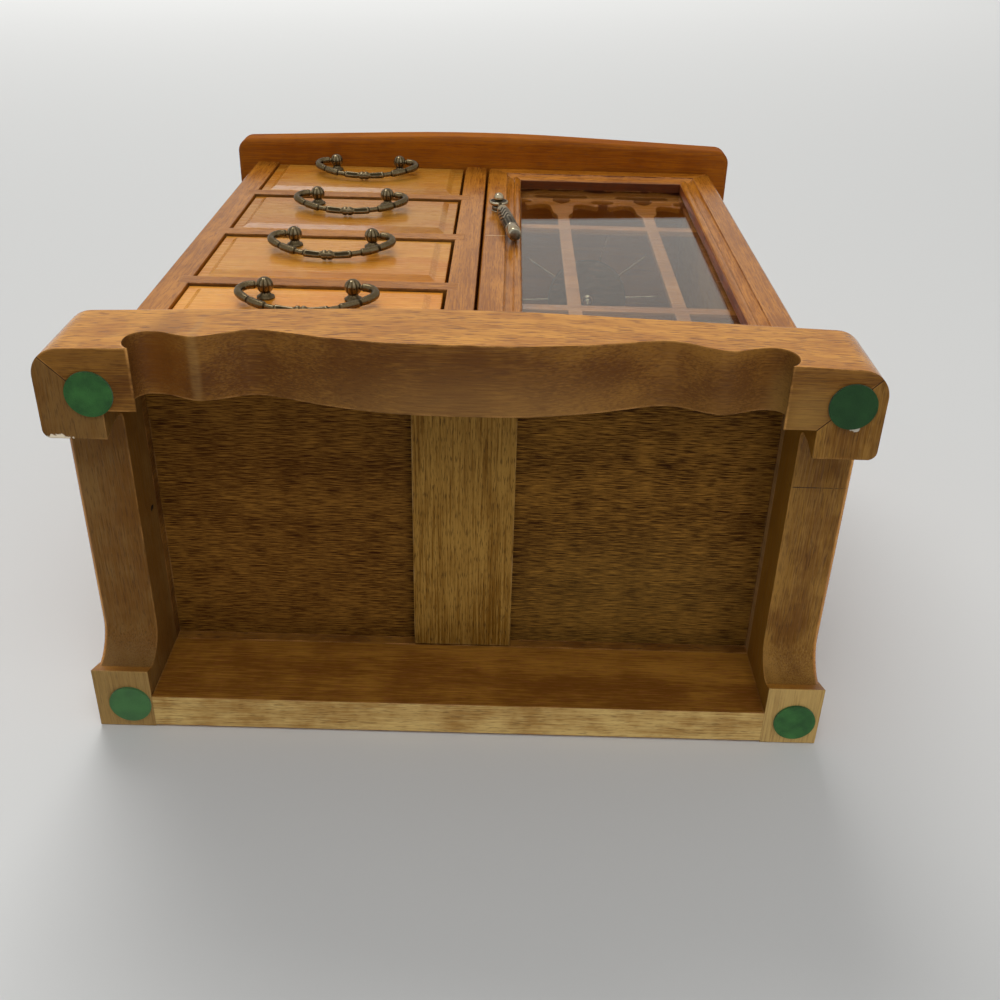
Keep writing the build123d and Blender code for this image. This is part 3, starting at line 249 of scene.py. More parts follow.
class Finish(Tree):
    """A new material's tree, with its shader, its output and the place on the piece in metres."""

    def __init__(self, name):
        self.material = bpy.data.materials.new(name)
        self.material.use_nodes = True
        self.material.node_tree.nodes.clear()
        super().__init__(self.material.node_tree)
        self.shader = self.add("ShaderNodeBsdfPrincipled")
        self.out = self.add("ShaderNodeOutputMaterial", {"Surface": self.shader.outputs[0]})
        self.place = self.add("ShaderNodeTexCoord").outputs["Object"]

    def surface(self, inputs):
        """Sets or links the shader's inputs and gives the material."""
        self.fill(self.shader, inputs)
        return self.material

    def see_through(self, share, first, second):
        """Puts a mix of two shaders on the output."""
        both = self.add("ShaderNodeMixShader", {0: share, 1: first, 2: second})
        self.fill(self.out, {"Surface": both.outputs[0]})


def new_group(name, inputs, outputs):
    """A node group with its sockets, vectors where the default is None, and its first nodes."""
    tree = bpy.data.node_groups.new(name, "ShaderNodeTree")
    for way, sockets in (("INPUT", inputs), ("OUTPUT", outputs)):
        for label, default in sockets.items():
            kind = "NodeSocketVector" if default is None else "NodeSocketFloat"
            socket = tree.interface.new_socket(label, in_out=way, socket_type=kind)
            if default:
                socket.default_value = default
    nodes = Tree(tree)
    return nodes, nodes.add("NodeGroupInput").outputs, nodes.add("NodeGroupOutput")


# Shared effects; the timber's scales count in millimetres and the others in metres

SEED_SHIFT = (173.0, 91.0, 57.0)
LOG_CENTRE = (0.0, 80.0, 55.0)
TONE_SCALE = (0.006, 0.05, 0.05)
BEND_SCALE = (0.009, 0.035, 0.035)
BLOTCH_SCALE, WEAR_SCALE, GRIME_AND_SHADE_SCALE = 0.06, 90.0, 70.0
WIDE_EDGE = 2.2
EDGE_SAMPLES = 6


def timber(name):
    """Grain along the first axis of the vector: broad tone, growth rings, fibre, pores and blotches."""
    nodes, given, out = new_group(
        name,
        {"Vector": None, "Seed": 0.0, "Ring": 6.0, "Warp": 14.0, "Fibre Length": 20.0, "Fibre Width": 0.8,
         "Pore Length": 4.0, "Pore Width": 0.38},
        dict.fromkeys(("Tone", "Rings", "Fibre", "Pores", "Blotch"), 0.0),
    )
    shift = nodes.join(*(nodes.times(given["Seed"], step) for step in SEED_SHIFT))
    millimetres = nodes.vector("ADD", nodes.vector("MULTIPLY", given["Vector"], (1 / MM,) * 3), shift)

    def drawn_out(part):
        """Coordinates stretched to the length and width of a part."""
        width = given[f"{part} Width"]
        return nodes.vector("DIVIDE", millimetres, nodes.join(given[f"{part} Length"], width, width))

    bend = nodes.noise(nodes.vector("MULTIPLY", millimetres, BEND_SCALE), 1.0, 2.0)
    bend = nodes.times(nodes.minus(bend, 0.5), given["Warp"])
    across = nodes.vector("MULTIPLY", nodes.vector("ADD", millimetres, LOG_CENTRE), (0.0, 1.0, 1.0))
    turns = nodes.math("DIVIDE", nodes.plus(nodes.vector("LENGTH", across), bend), given["Ring"])
    wave = nodes.math("MULTIPLY_ADD", nodes.math("SINE", nodes.times(turns, TURN)), 0.5, 0.5)
    nodes.fill(out, {
        "Tone": nodes.noise(nodes.vector("MULTIPLY", millimetres, TONE_SCALE), 1.0, 3.0),
        "Rings": nodes.math("POWER", wave, 2.0),
        "Fibre": nodes.noise(drawn_out("Fibre"), 1.0, 4.0, 0.6),
        "Pores": nodes.ramp(nodes.noise(drawn_out("Pore"), 1.0, 1.0), 0.54, 0.70),
        "Blotch": nodes.noise(millimetres, BLOTCH_SCALE, 3.0, 0.6),
    })
    return nodes.tree


def rubbed_edges(name):
    """A mask of the piece's edges, broken up by noise, and the normal that softens them."""
    nodes, given, out = new_group(
        name, {"Vector": None, "Radius": 0.0005, "Wear": 0.5}, {"Mask": 0.0, "Normal": None}
    )
    soft, wide = (nodes.add("ShaderNodeBevel", {"Radius": radius}, samples=EDGE_SAMPLES).outputs[0]
                  for radius in (given["Radius"], nodes.times(given["Radius"], WIDE_EDGE)))
    turn = nodes.minus(1.0, nodes.vector("DOT_PRODUCT", wide, nodes.facing()))
    patches = nodes.noise(given["Vector"], WEAR_SCALE, 4.0, 0.65)
    level = nodes.times(nodes.ramp(turn, 0.02, 0.22), nodes.ramp(patches, 0.38, 0.66))
    nodes.fill(out, {"Mask": nodes.times(level, given["Wear"], clamp=True), "Normal": soft})
    return nodes.tree


def grime_and_shade(name):
    """A mask of the corners where polish and dirt gather and where shade falls, for dirt and painted shade."""
    nodes, given, out = new_group(name, {"Vector": None, "Reach": 0.008, "Amount": 0.5}, {"Mask": 0.0})
    shade = nodes.add(
        "ShaderNodeAmbientOcclusion", {"Distance": given["Reach"]}, samples=EDGE_SAMPLES, only_local=True)
    depth = nodes.ramp(nodes.minus(1.0, shade.outputs["AO"]), 0.35, 0.95)
    patches = nodes.ramp(nodes.noise(given["Vector"], GRIME_AND_SHADE_SCALE, 3.0), 0.2, 0.7, 0.45, 1.0)
    nodes.fill(out, {"Mask": nodes.times(nodes.times(depth, patches), given["Amount"], clamp=True)})
    return nodes.tree


GROUPS = {"Timber": timber, "Rubbed Edges": rubbed_edges, "Grime": grime_and_shade}

# Wood

GRAIN_SIZES = ("seed", "ring", "warp", "fibre_length", "fibre_width", "pore_length", "pore_width")
GRAIN_ORDER = {"X": (0, 1, 2), "Y": (1, 0, 2), "Z": (2, 0, 1)}
WOOD = {
    "axis": "X", "pore": (0.22, 0.07, 0.012), "ring": 7.0, "warp": 14.0, "figure": 0.3, "fibre": 0.6,
    "blotch": 0.25, "pores": 0.75, "seed": 0.0, "fibre_length": 18.0, "fibre_width": 0.6, "pore_length": 5.0,
    "pore_width": 0.4, "rough": 0.24, "specular": 0.24, "coat": 0.2, "coat_rough": 0.12, "bump": 0.3,
    "wear": None, "marks": (), "seam": None, "washes": (),
}
BARE = {"pore": (0.045, 0.018, 0.004), "pores": 0.8, "figure": 0.2, "blotch": 0.4, "fibre": 0.5,
        "fibre_length": 12.0, "fibre_width": 0.5, "pore_length": 4.0}
CORNER_GRIME_AND_SHADE = 0.6
RELIEF_DEPTH = 0.00025
TORN_SCALE = 700.0


def shaded(tone, share):
    """A colour made darker or lighter."""
    return tuple(c * share for c in tone)


def tinted(tone, tint):
    """A colour multiplied by another."""
    return tuple(c * t for c, t in zip(tone, tint))


def tones(settings, kind, share=1.0, tint=(1.0, 1.0, 1.0)):
    """The darker and the lighter grain of one kind of wood."""
    return {shade: shaded(tinted(getattr(settings, f"{kind}_{shade}"), tint), share)
            for shade in ("dark", "light")}


def wood_colour(nodes, spec):
    """Base colour, relief and fibre of one wood."""
    parts = nodes.split(nodes.place)
    along = nodes.join(*(parts[k] for k in GRAIN_ORDER[spec["axis"]]))
    grain = nodes.group("Timber", vector=along, **{key: spec[key] for key in GRAIN_SIZES})
    body = nodes.blend(spec["fibre"], grain["Tone"], grain["Fibre"])
    body = nodes.blend(spec["blotch"], body, grain["Blotch"])
    tone = nodes.mix(nodes.ramp(body, 0.41, 0.59), spec["dark"], spec["light"])
    tone = nodes.mix(nodes.times(grain["Rings"], spec["figure"]), tone, spec["dark"])
    tone = nodes.mix(nodes.times(grain["Pores"], spec["pores"]), tone, spec["pore"])
    return tone, nodes.minus(nodes.times(grain["Fibre"], 0.5), grain["Pores"]), grain["Fibre"]


def distance_from(nodes, centre, stretch):
    """The distance from a point, counted less along the axes whose share is small."""
    away = nodes.vector("SUBTRACT", nodes.place, centre)
    return nodes.vector("LENGTH", nodes.vector("MULTIPLY", away, stretch))


def soft_patch(centre, radius, stretch=(1.0, 1.0, 1.0)):
    """A mask maker for a patch that fades outwards."""
    return lambda nodes: nodes.ramp(distance_from(nodes, centre, stretch), radius, radius * 0.3)


def ragged_patch(centre, radius, stretch):
    """A mask maker for a patch with a torn outline."""

    def mask(nodes):
        torn = nodes.times(nodes.minus(nodes.noise(nodes.place, TORN_SCALE, 3.0), 0.5), radius * 1.6)
        away = nodes.plus(distance_from(nodes, centre, stretch), torn)
        return nodes.ramp(away, radius, radius * 0.75)

    return mask


def wood_finish(name, settings, bare_mask=None, bare=None, **changes):
    """A lacquered wood, left bare where the mask says so, with its wear, its grime and painted shade in the
    corners, its stains and painted light, its marks and relief.
    """
    spec = {**WOOD, **changes}
    nodes = Finish(name)
    tone, height, fibre = wood_colour(nodes, spec)
    rough, coat = spec["rough"], spec["coat"]
    if bare_mask:
        mask = bare_mask(nodes)
        bare_tone, bare_height, _ = wood_colour(nodes, {**WOOD, **BARE, **bare})
        tone = nodes.mix(mask, tone, bare_tone)
        height = nodes.blend(mask, height, bare_height)
        rough = nodes.blend(mask, rough, nodes.ramp(fibre, 0.3, 0.7, 0.6, 0.85))
        coat = nodes.blend(mask, coat, 0.0) if coat else coat
    else:
        rough = nodes.ramp(fibre, 0.3, 0.7, rough * 0.85, rough * 1.2)
    wear = settings.edge_wear if spec["wear"] is None else spec["wear"]
    edges = nodes.group("Rubbed Edges", vector=nodes.place, radius=settings.arris, wear=wear)
    dirt_and_shade = nodes.group("Grime", vector=nodes.place, amount=CORNER_GRIME_AND_SHADE)["Mask"]
    tone = nodes.mix(edges["Mask"], tone, tuple(min(1.0, c * 1.2 + 0.06) for c in spec["light"]))
    # Corners darkened: dirt and painted shade
    tone = nodes.mix(dirt_and_shade, tone, shaded(spec["dark"], 0.25))
    for wash_mask, share, wash in spec["washes"]:
        part = nodes.times(wash_mask(nodes), share)
        tone = nodes.mix(nodes.times(part, nodes.ramp(fibre, 0.3, 0.6, 0.5, 1.0)), tone, wash)
    for mark_mask, mark in spec["marks"]:
        tone = nodes.mix(mark_mask(nodes), tone, mark)
    if spec["seam"]:
        tone = nodes.mix(spec["seam"](nodes), tone, shaded(spec["dark"], 0.15))
    return nodes.surface({
        "Base Color": tone, "Roughness": rough, "Coat Weight": coat, "Coat Roughness": spec["coat_rough"],
        "Specular IOR Level": spec["specular"],
        "Normal": nodes.bump(spec["bump"], RELIEF_DEPTH, height, Normal=edges["Normal"]),
    })


def dress(node, material, smooth=None):
    """Gives a carried-over node its material, and shades its curves smoothly up to an angle."""
    mesh = NODES[node].data
    mesh.materials.clear()
    mesh.materials.append(material)
    if smooth:
        mesh.shade_smooth()
        mesh.set_sharp_from_angle(angle=math.radians(smooth))


# Masks of the bare undersides, in metres

FOOT_INSIDE, FOOT_OUTSIDE = 0.1225, 0.1235
FLOOR_LOW, FLOOR_HIGH = 0.048, 0.0484
SOLE_LOW, SOLE_HIGH = 0.0012, 0.0016
BACK_FOOT_FROM = (0.02, 0.03)
MITRE_FADE = (0.0004, 0.00015)


def facing_along(axis, sign, low=0.85, high=0.97):
    """A mask maker for the faces that look one way along an axis."""
    return lambda nodes: nodes.toward(axis, sign, low, high)


def bare_under_front(nodes):
    """All of the front apron but its face, its top edge and its outer corners."""
    within = nodes.ramp(nodes.math("ABSOLUTE", nodes.split(nodes.place)[0]), FOOT_OUTSIDE, FOOT_INSIDE)
    level = nodes.times(nodes.times(nodes.toward(1, 1, -0.6, -0.25), within), nodes.toward(2, 1, 0.5, 0.2))
    return nodes.math("MAXIMUM", nodes.toward(2, -1, 0.35, 0.65), level)


def bare_beside(sign):
    """A mask maker for a side apron: all but its outer face and its top edge."""
    return lambda nodes: nodes.minus(1.0, nodes.math(
        "MAXIMUM", nodes.toward(0, sign, 0.3, 0.6), nodes.toward(2, 1, 0.2, 0.5)))


def back_foot(nodes):
    """The sole and the end of a side apron's back foot."""
    parts = nodes.split(nodes.place)
    return nodes.times(nodes.ramp(parts[2], SOLE_HIGH, SOLE_LOW), nodes.ramp(parts[1], *BACK_FOOT_FROM))


def bare_below(nodes):
    """The undersides, and the inner faces that reach down below the cabinet's floor."""
    level = nodes.vector("MULTIPLY", nodes.facing(), (1.0, 1.0, 0.0))
    outward = nodes.vector("DOT_PRODUCT", level, nodes.place)
    below = nodes.ramp(nodes.split(nodes.place)[2], FLOOR_HIGH, FLOOR_LOW)
    inner = nodes.times(below, nodes.ramp(outward, 0.0, -0.01))
    return nodes.math("MAXIMUM", nodes.toward(2, -1, 0.4, 0.7), inner)


def mitre_line(nodes):
    """The joint lines of the two front corners."""
    parts = nodes.split(nodes.place)
    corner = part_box("base_side_apron_right")[1].x + BASE_FRONT
    away = nodes.minus(nodes.plus(nodes.math("ABSOLUTE", parts[0]), parts[1]), corner)
    return nodes.ramp(nodes.math("ABSOLUTE", away), *MITRE_FADE)


# Operators: wood

SMOOTH, SMOOTH_FINE = 35, 25
CASE_PARTS = [("side_panel_left", "Z"), ("side_panel_right", "Z"), ("centre_partition", "Z"),
              ("drawer_dividers", "X"), ("front_sill", "X"), ("back_sill", "X")]
CASE_SEED = 1.3
# Stains, and painted light or shade, are a mask, a share and a colour; marks are a mask and a colour. The right
# side panel's inner face behind the glass is made paler: painted light.
PAINTED_LIGHT_BEHIND_GLASS = [(facing_along(0, -1), 0.5, (0.7, 0.42, 0.16))]


class CabinetOperator:
    """What all the cabinet's operators share."""

    bl_options = {"REGISTER", "UNDO"}


class CABINET_OT_case(CabinetOperator, bpy.types.Operator):
    """Lacquers the case: sides, partition, dividers, sills and top board"""

    bl_idname = "cabinet.case"
    bl_label = "Case"

    def execute(self, context):
        """Dresses the nodes of the case."""
        wood = context.scene.cabinet_wood
        for index, (node, axis) in enumerate(CASE_PARTS):
            finish = wood_finish(
                f"Cabinet wood {node}", wood, bare_below, {**tones(wood, "raw"), "axis": axis},
                axis=axis, seed=CASE_SEED + index, washes=PAINTED_LIGHT_BEHIND_GLASS if node == "side_panel_right" else (),
                **tones(wood, "case"))
            dress(node, finish, smooth=SMOOTH)
        # All but the top face takes the darker rim colours: painted shade on the front and underside.
        rim = {**WOOD, "seed": 9.2, **tones(wood, "top")}
        top = wood_finish(
            "Top board wood", wood, facing_along(2, 1, 0.8, 0.3), rim, seed=9.2, ring=9.0, warp=22.0,
            figure=0.4, specular=0.12, coat=0.08, **tones(wood, "case"))
        dress("top_board", top, smooth=SMOOTH)
        return {"FINISHED"}


def from_front(x, y, z):
    """A point on the base, with its depth counted from the base's front."""
    return x, BASE_FRONT + y, z


# Patches on the front apron: an orange patch at the left end, a painted highlight beside it, a paler patch in
# the middle, a darker patch to the right and a painted highlight inside the right hook.
APRON_STAINS_AND_HIGHLIGHTS = [
    (soft_patch(from_front(-0.0995, 0.0096, 0.0130), 0.012, (1.0, 0.5, 0.5)), 0.75, (0.17, 0.052, 0.001)),
    (soft_patch(from_front(-0.0893, 0.0100, 0.0125), 0.0028, (1.0, 0.1, 0.1)), 0.3, (0.36, 0.21, 0.07)),
    (soft_patch(from_front(0.0050, 0.0300, 0.0180), 0.085, (1.0, 2.6, 0.3)), 0.5, (0.30, 0.155, 0.045)),
    (soft_patch(from_front(0.0920, 0.0300, 0.0140), 0.042, (1.0, 1.3, 0.3)), 0.5, (0.12, 0.05, 0.008)),
    (soft_patch(from_front(0.1150, 0.0160, 0.0130), 0.014, (1.0, 0.8, 0.5)), 0.6, (0.36, 0.20, 0.045)),
]
GLUE = ragged_patch(from_front(0.1309, 0.0205, 0.001), 0.0011, (0.6, 1.0, 1.0)), (0.55, 0.5, 0.4)
CHIP = ragged_patch(from_front(-0.1352, 0.0325, 0.001), 0.0022, (0.4, 1.0, 1.0)), (0.8, 0.68, 0.5)
KNOT = ragged_patch(from_front(-0.1185, 0.0773, 0.0332), 0.0012, (1.0, 1.0, 0.6)), (0.006, 0.004, 0.003)
JOINT = ragged_patch(from_front(0.1244, 0.0530, 0.011), 0.00025, (0.015, 1.0, 0.015)), (0.055, 0.026, 0.008)
# Each side apron: its direction, name, tint, evenness of grain, paleness of its back foot, partly paler bare
# wood and partly painted bounce light, and the painted glow of reflected light on its inside
SIDE_APRONS = [(-1, "left", (0.93, 1.1, 2.1), 1.35, 0.35, 0.15), (1, "right", (1.12, 1.3, 1.8), 1.1, 0.72, 0.75)]
APRON_PAINTED_GLOW = (0.34, 0.15, 0.008)
APRON_LIFT = 1.15
RAIL_TINT_AND_BOUNCE = (1.35, 1.4, 1.3)


class CABINET_OT_base(CabinetOperator, bpy.types.Operator):
    """Lacquers the base outside and leaves its undersides bare"""

    bl_idname = "cabinet.base"
    bl_label = "Base"

    def execute(self, context):
        """Dresses the aprons and the back rail."""
        wood = context.scene.cabinet_wood
        outside = {**tones(wood, "base"), "seam": mitre_line}
        front = wood_finish(
            "Front apron wood", wood, bare_under_front,
            {**tones(wood, "raw"), "seed": 3.7, "pores": 0.35, "blotch": 0.3},
            seed=3.1, pore=(0.15, 0.046, 0.008), pore_length=6.0, pore_width=0.6, marks=[GLUE],
            washes=APRON_STAINS_AND_HIGHLIGHTS, **outside)
        dress("base_front_apron", front, smooth=SMOOTH)
        for sign, side, tint, evenness, foot_paleness_and_bounce, painted_glow in SIDE_APRONS:
            bare = {"dark": tones(wood, "raw", evenness, tint)["dark"],
                    "light": tones(wood, "raw", APRON_LIFT / evenness, tint)["light"],
                    "axis": "Y", "seed": 5.0 + sign, "pores": 0.4, "blotch": 0.35}
            # The back foot is paler, partly bare wood and partly painted bounce light; the inside gets a painted
            # glow of reflected light.
            washes = [(back_foot, foot_paleness_and_bounce, wood.pale_light), (facing_along(0, -sign), painted_glow, APRON_PAINTED_GLOW)]
            apron = wood_finish(
                f"Side apron wood {side}", wood, bare_beside(sign), bare, axis="Y", seed=6.0 + sign, wear=0.3,
                marks=[GLUE, CHIP, KNOT, JOINT], washes=washes, **outside)
            dress(f"base_side_apron_{side}", apron, smooth=SMOOTH)
        # The back rail is lifted paler, partly as paler bare wood and partly as painted bounce light from the
        # floor behind it.
        rail = wood_finish(
            "Back rail wood", wood, facing_along(2, -1, 0.4, 0.7),
            {**tones(wood, "pale"), "seed": 4.4, "pores": 0.4, "blotch": 0.35},
            seed=4.8, coat=0.0, rough=0.6, figure=0.2, fibre_length=14.0, **tones(wood, "raw", tint=RAIL_TINT_AND_BOUNCE))
        dress("base_back_rail", rail)
        return {"FINISHED"}


# The plywood is darker to the left, as painted shade, and paler to the right and back, as painted light.
PLY_PAINTED_SHADE_AND_LIGHT = [(soft_patch((-0.075, 0.0, 0.03), 0.085, (1.0, 0.5, 1.0)), 0.25, (0.085, 0.018, 0.001)),
              (soft_patch((0.070, 0.06, 0.03), 0.065, (0.7, 1.0, 1.0)), 0.22, (0.26, 0.15, 0.03))]
BATTEN_TINT = (1.35, 1.7, 2.8)


class CABINET_OT_plywood(CabinetOperator, bpy.types.Operator):
    """Stains the plywood floor and back, and the batten under the floor"""

    bl_idname = "cabinet.plywood"
    bl_label = "Plywood"

    def execute(self, context):
        """Dresses floor, back and batten."""
        wood = context.scene.cabinet_wood
        for seed, (node, axis) in enumerate([("floor_panel", "X"), ("back_panel", "Z")]):
            ply = wood_finish(
                f"Plywood {node}", wood, axis=axis, seed=11.0 + seed, coat=0.0, rough=0.62, ring=1.6, warp=12.0,
                figure=0.2, fibre=0.85, blotch=0.1, pores=0.75, fibre_length=8.0, fibre_width=0.25,
                pore_length=5.0, pore_width=0.2, pore=(0.03, 0.009, 0.001), bump=0.6, specular=0.05,
                washes=PLY_PAINTED_SHADE_AND_LIGHT, **tones(wood, "ply"))
            dress(node, ply)
        raw = {**BARE, **tones(wood, "raw", tint=BATTEN_TINT), "blotch": 0.15, "fibre": 0.65,
               "fibre_length": 30.0, "fibre_width": 0.8, "pores": 0.65}
        dress("floor_batten", wood_finish(
            "Batten wood", wood, axis="Y", seed=13.0, coat=0.0, rough=0.6, bump=0.4, specular=0.08, **raw))
        return {"FINISHED"}


# Each drawer front is darker the higher it sits: painted shade, deepest under the top board's overhang.
DRAWER_PAINTED_SHADE = (0.54, 0.53, 0.66, 0.82)
BOX_TONES = {"dark": (0.36, 0.22, 0.10), "light": (0.62, 0.45, 0.26), "pore": (0.22, 0.12, 0.05)}
LINING_FELT = (0.05, 0.012, 0.014), (0.13, 0.035, 0.04)


class CABINET_OT_drawers(CabinetOperator, bpy.types.Operator):
    """Lacquers the drawer fronts and finishes their boxes"""

    bl_idname = "cabinet.drawers"
    bl_label = "Drawers"

    def execute(self, context):
        """Dresses the fronts, boxes and linings."""
        wood = context.scene.cabinet_wood
        box = wood_finish(
            "Drawer box wood", wood, axis="Y", seed=21.0, coat=0.15, rough=0.5, figure=0.2, **BOX_TONES)
        lining = felt("Drawer lining felt", *LINING_FELT)
        for index, (drawer, shade) in enumerate(zip(DRAWERS, DRAWER_PAINTED_SHADE)):
            front = wood_finish(
                f"Drawer front wood {index + 1}", wood, seed=15.0 + 1.7 * index, figure=0.25, ring=11.0,
                warp=26.0, fibre=0.4, pores=0.3, pore=(0.3, 0.09, 0.01), coat=0.4, coat_rough=0.08,
                **tones(wood, "drawer", shade))
            dress(f"{drawer}_front", front, SMOOTH_FINE)
            for part in ("sides", "back", "bottom"):
                dress(f"{drawer}_{part}", box)
            dress(f"{drawer}_lining", lining)
        return {"FINISHED"}


# Each part of the door's frame: its grain, where its opening edge faces, its brightness, raised on the top rail
# as painted light, and the brightness of the dark stain and painted shade on its opening edge
DOOR_FRAME = [("door_stile_left", "Z", 0, 1, 1.0, 1.0), ("door_stile_right", "Z", 0, -1, 1.0, 2.2),
              ("door_rail_top", "X", 2, -1, 1.45, 1.0), ("door_rail_bottom", "X", 2, 1, 1.0, 1.0)]
# The opening edges are dark: stain and painted shade.
EDGE_STAIN_AND_SHADE = {"dark": (0.075, 0.013, 0.0003), "light": (0.12, 0.027, 0.0008)}
# A thin pale line across the left stile.
PALE_LINE_X, PALE_LINE_Z, PALE_LINE_HALF = 0.0095, 0.1666, 0.0003
PALE_LINE_TONE = (0.72, 0.46, 0.22)


class CABINET_OT_door(CabinetOperator, bpy.types.Operator):
    """Lacquers the door's frame, glazes it and finishes its tracery"""

    bl_idname = "cabinet.door"
    bl_label = "Door"

    def execute(self, context):
        """Dresses the frame, the glass, the tracery and the strips."""
        wood = context.scene.cabinet_wood
        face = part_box("door_stile_left")[0].y
        pale_line = ragged_patch((PALE_LINE_X, face, PALE_LINE_Z), PALE_LINE_HALF, (0.03, 1.0, 1.0)), PALE_LINE_TONE
        for seed, (node, axis, across, sign, strength, depth) in enumerate(DOOR_FRAME):
            stain_and_shade = {shade: shaded(tone, depth) for shade, tone in EDGE_STAIN_AND_SHADE.items()}
            frame_wood = wood_finish(
                f"Door wood {node}", wood, facing_along(across, sign), {**stain_and_shade, "axis": axis},
                axis=axis, seed=31.0 + seed, marks=[pale_line], **tones(wood, "case", strength))
            dress(node, frame_wood, smooth=SMOOTH)
        tracery = wood_finish(
            "Tracery wood", wood, seed=37.0, figure=0.15, specular=0.05, coat=0.0, **tones(wood, "case", 0.8))
        dress("door_fretwork", tracery, smooth=SMOOTH_FINE)
        dress("glass_retaining_strips", tracery)
        dress("door_glass", clear_glass("Door glass"))
        return {"FINISHED"}


# Metal, felt, glass and plastic

PATINA_SCALE, TARNISH_SCALE, FELT_BLOTCH_SCALE, NAP_SCALE = 420.0, 260.0, 160.0, 2600.0
DUST_SCALE, MOULDED_SCALE = 35.0, 2200.0
BRUSHED_SCALE = (300.0, 300.0, 4000.0)
SMALL_REACH, SMALL_GRIME_AND_SHADE = 0.002, 0.8
METAL_DEPTH, NAP_DEPTH = 0.0001, 0.0003


def antique_brass(name, settings, body, shine=0.5, mottle=0.9, hollows=(0.15, 0.62), rubs=(0.72, 1.25)):
    """Cast brass, dark in its hollows and rubbed bright on its high points."""
    nodes = Finish(name)
    relief = nodes.add("ShaderNodeAttribute", attribute_name="relief").outputs["Fac"]
    patches = nodes.noise(nodes.place, PATINA_SCALE, 4.0, 0.6)
    height = nodes.plus(relief, nodes.times(nodes.minus(patches, 0.5), mottle))
    dirt_and_shade = nodes.group("Grime", vector=nodes.place, reach=SMALL_REACH, amount=SMALL_GRIME_AND_SHADE)["Mask"]
    tone = nodes.mix(nodes.ramp(height, *hollows), settings.patina, body)
    tone = nodes.mix(nodes.times(nodes.ramp(height, *rubs), shine), tone, settings.rubbed)
    # Corners darkened towards the patina: dirt and painted shade
    return nodes.surface({
        "Base Color": nodes.mix(dirt_and_shade, tone, shaded(settings.patina, 0.5)), "Metallic": 1.0,
        "Roughness": nodes.ramp(height, 0.2, 1.0, 0.45, 0.2),
        "Normal": nodes.bump(0.35, METAL_DEPTH, patches),
    })


def bright_brass(name, settings):
    """Polished brass with faint tarnish."""
    nodes = Finish(name)
    patches = nodes.noise(nodes.place, TARNISH_SCALE, 4.0, 0.6)
    tone = nodes.mix(nodes.ramp(patches, 0.4, 0.75), settings.bright, shaded(settings.bright, 0.55))
    return nodes.surface({
        "Base Color": tone, "Metallic": 1.0, "Roughness": nodes.ramp(patches, 0.3, 0.7, 0.13, 0.26)})


def felt(name, ground, tip, washes=()):
    """Dense felt with a short nap."""
    nodes = Finish(name)
    blotch = nodes.noise(nodes.place, FELT_BLOTCH_SCALE, 3.0)
    fibre = nodes.noise(nodes.place, NAP_SCALE, 3.0, 0.7)
    tone = nodes.mix(nodes.ramp(nodes.blend(0.45, blotch, fibre), 0.34, 0.66), ground, tip)
    for wash_mask, share, wash in washes:
        tone = nodes.mix(nodes.times(wash_mask(nodes), share), tone, wash)
    return nodes.surface({
        "Base Color": tone, "Roughness": nodes.ramp(fibre, 0.3, 0.7, 0.85, 1.0),
        "Normal": nodes.bump(0.7, NAP_DEPTH, fibre), "Sheen Weight": 0.15, "Sheen Roughness": 0.5,
    })


def clear_glass(name):
    """Flat glass that lets the lamps through, with a faint film of dust."""
    nodes = Finish(name)
    path = nodes.add("ShaderNodeLightPath").outputs
    passing = nodes.math("MAXIMUM", path["Is Shadow Ray"], path["Is Diffuse Ray"])
    clear = nodes.add("ShaderNodeBsdfTransparent", {"Color": (0.9, 0.92, 0.91)})
    nodes.see_through(passing, nodes.shader.outputs[0], clear.outputs[0])
    film = nodes.noise(nodes.place, DUST_SCALE, 4.0, 0.6)
    return nodes.surface({
        "Base Color": (0.97, 0.985, 0.975), "Transmission Weight": 1.0, "IOR": 1.5,
        "Roughness": nodes.ramp(film, 0.45, 0.8, 0.0, 0.05),
    })


def plain_metal(name, tone, rough):
    """Plated steel with a brushed surface."""
    nodes = Finish(name)
    streaks = nodes.noise(nodes.vector("MULTIPLY", nodes.place, BRUSHED_SCALE), 1.0, 2.0)
    return nodes.surface({
        "Base Color": nodes.mix(streaks, shaded(tone, 0.7), tone), "Metallic": 1.0,
        "Roughness": nodes.ramp(streaks, 0.2, 0.8, rough * 0.8, rough * 1.3),
    })


def moulded_plastic(name, tone):
    """Matt plastic with a fine moulded grain."""
    nodes = Finish(name)
    grain = nodes.noise(nodes.place, MOULDED_SCALE, 3.0)
    return nodes.surface({
        "Base Color": nodes.mix(grain, shaded(tone, 0.8), tone),
        "Normal": nodes.bump(0.4, METAL_DEPTH, grain),
        "Roughness": nodes.ramp(grain, 0.2, 0.8, 0.45, 0.65),
    })


# Meshes; the shapes are worked out in millimetres

BALL_END = 0.985


def new_object(name, data):
    """An object in the scene."""
    thing = bpy.data.objects.new(name, data)
    bpy.context.scene.collection.objects.link(thing)
    return thing


def angles(count):
    """Equal turns round a circle."""
    return [TURN * k / count for k in range(count)]


def grooved(count, angle):
    """How deep the groove between two of a number of lobes is at an angle."""
    return (1 - abs(math.cos(count * angle / 2))) ** 1.5


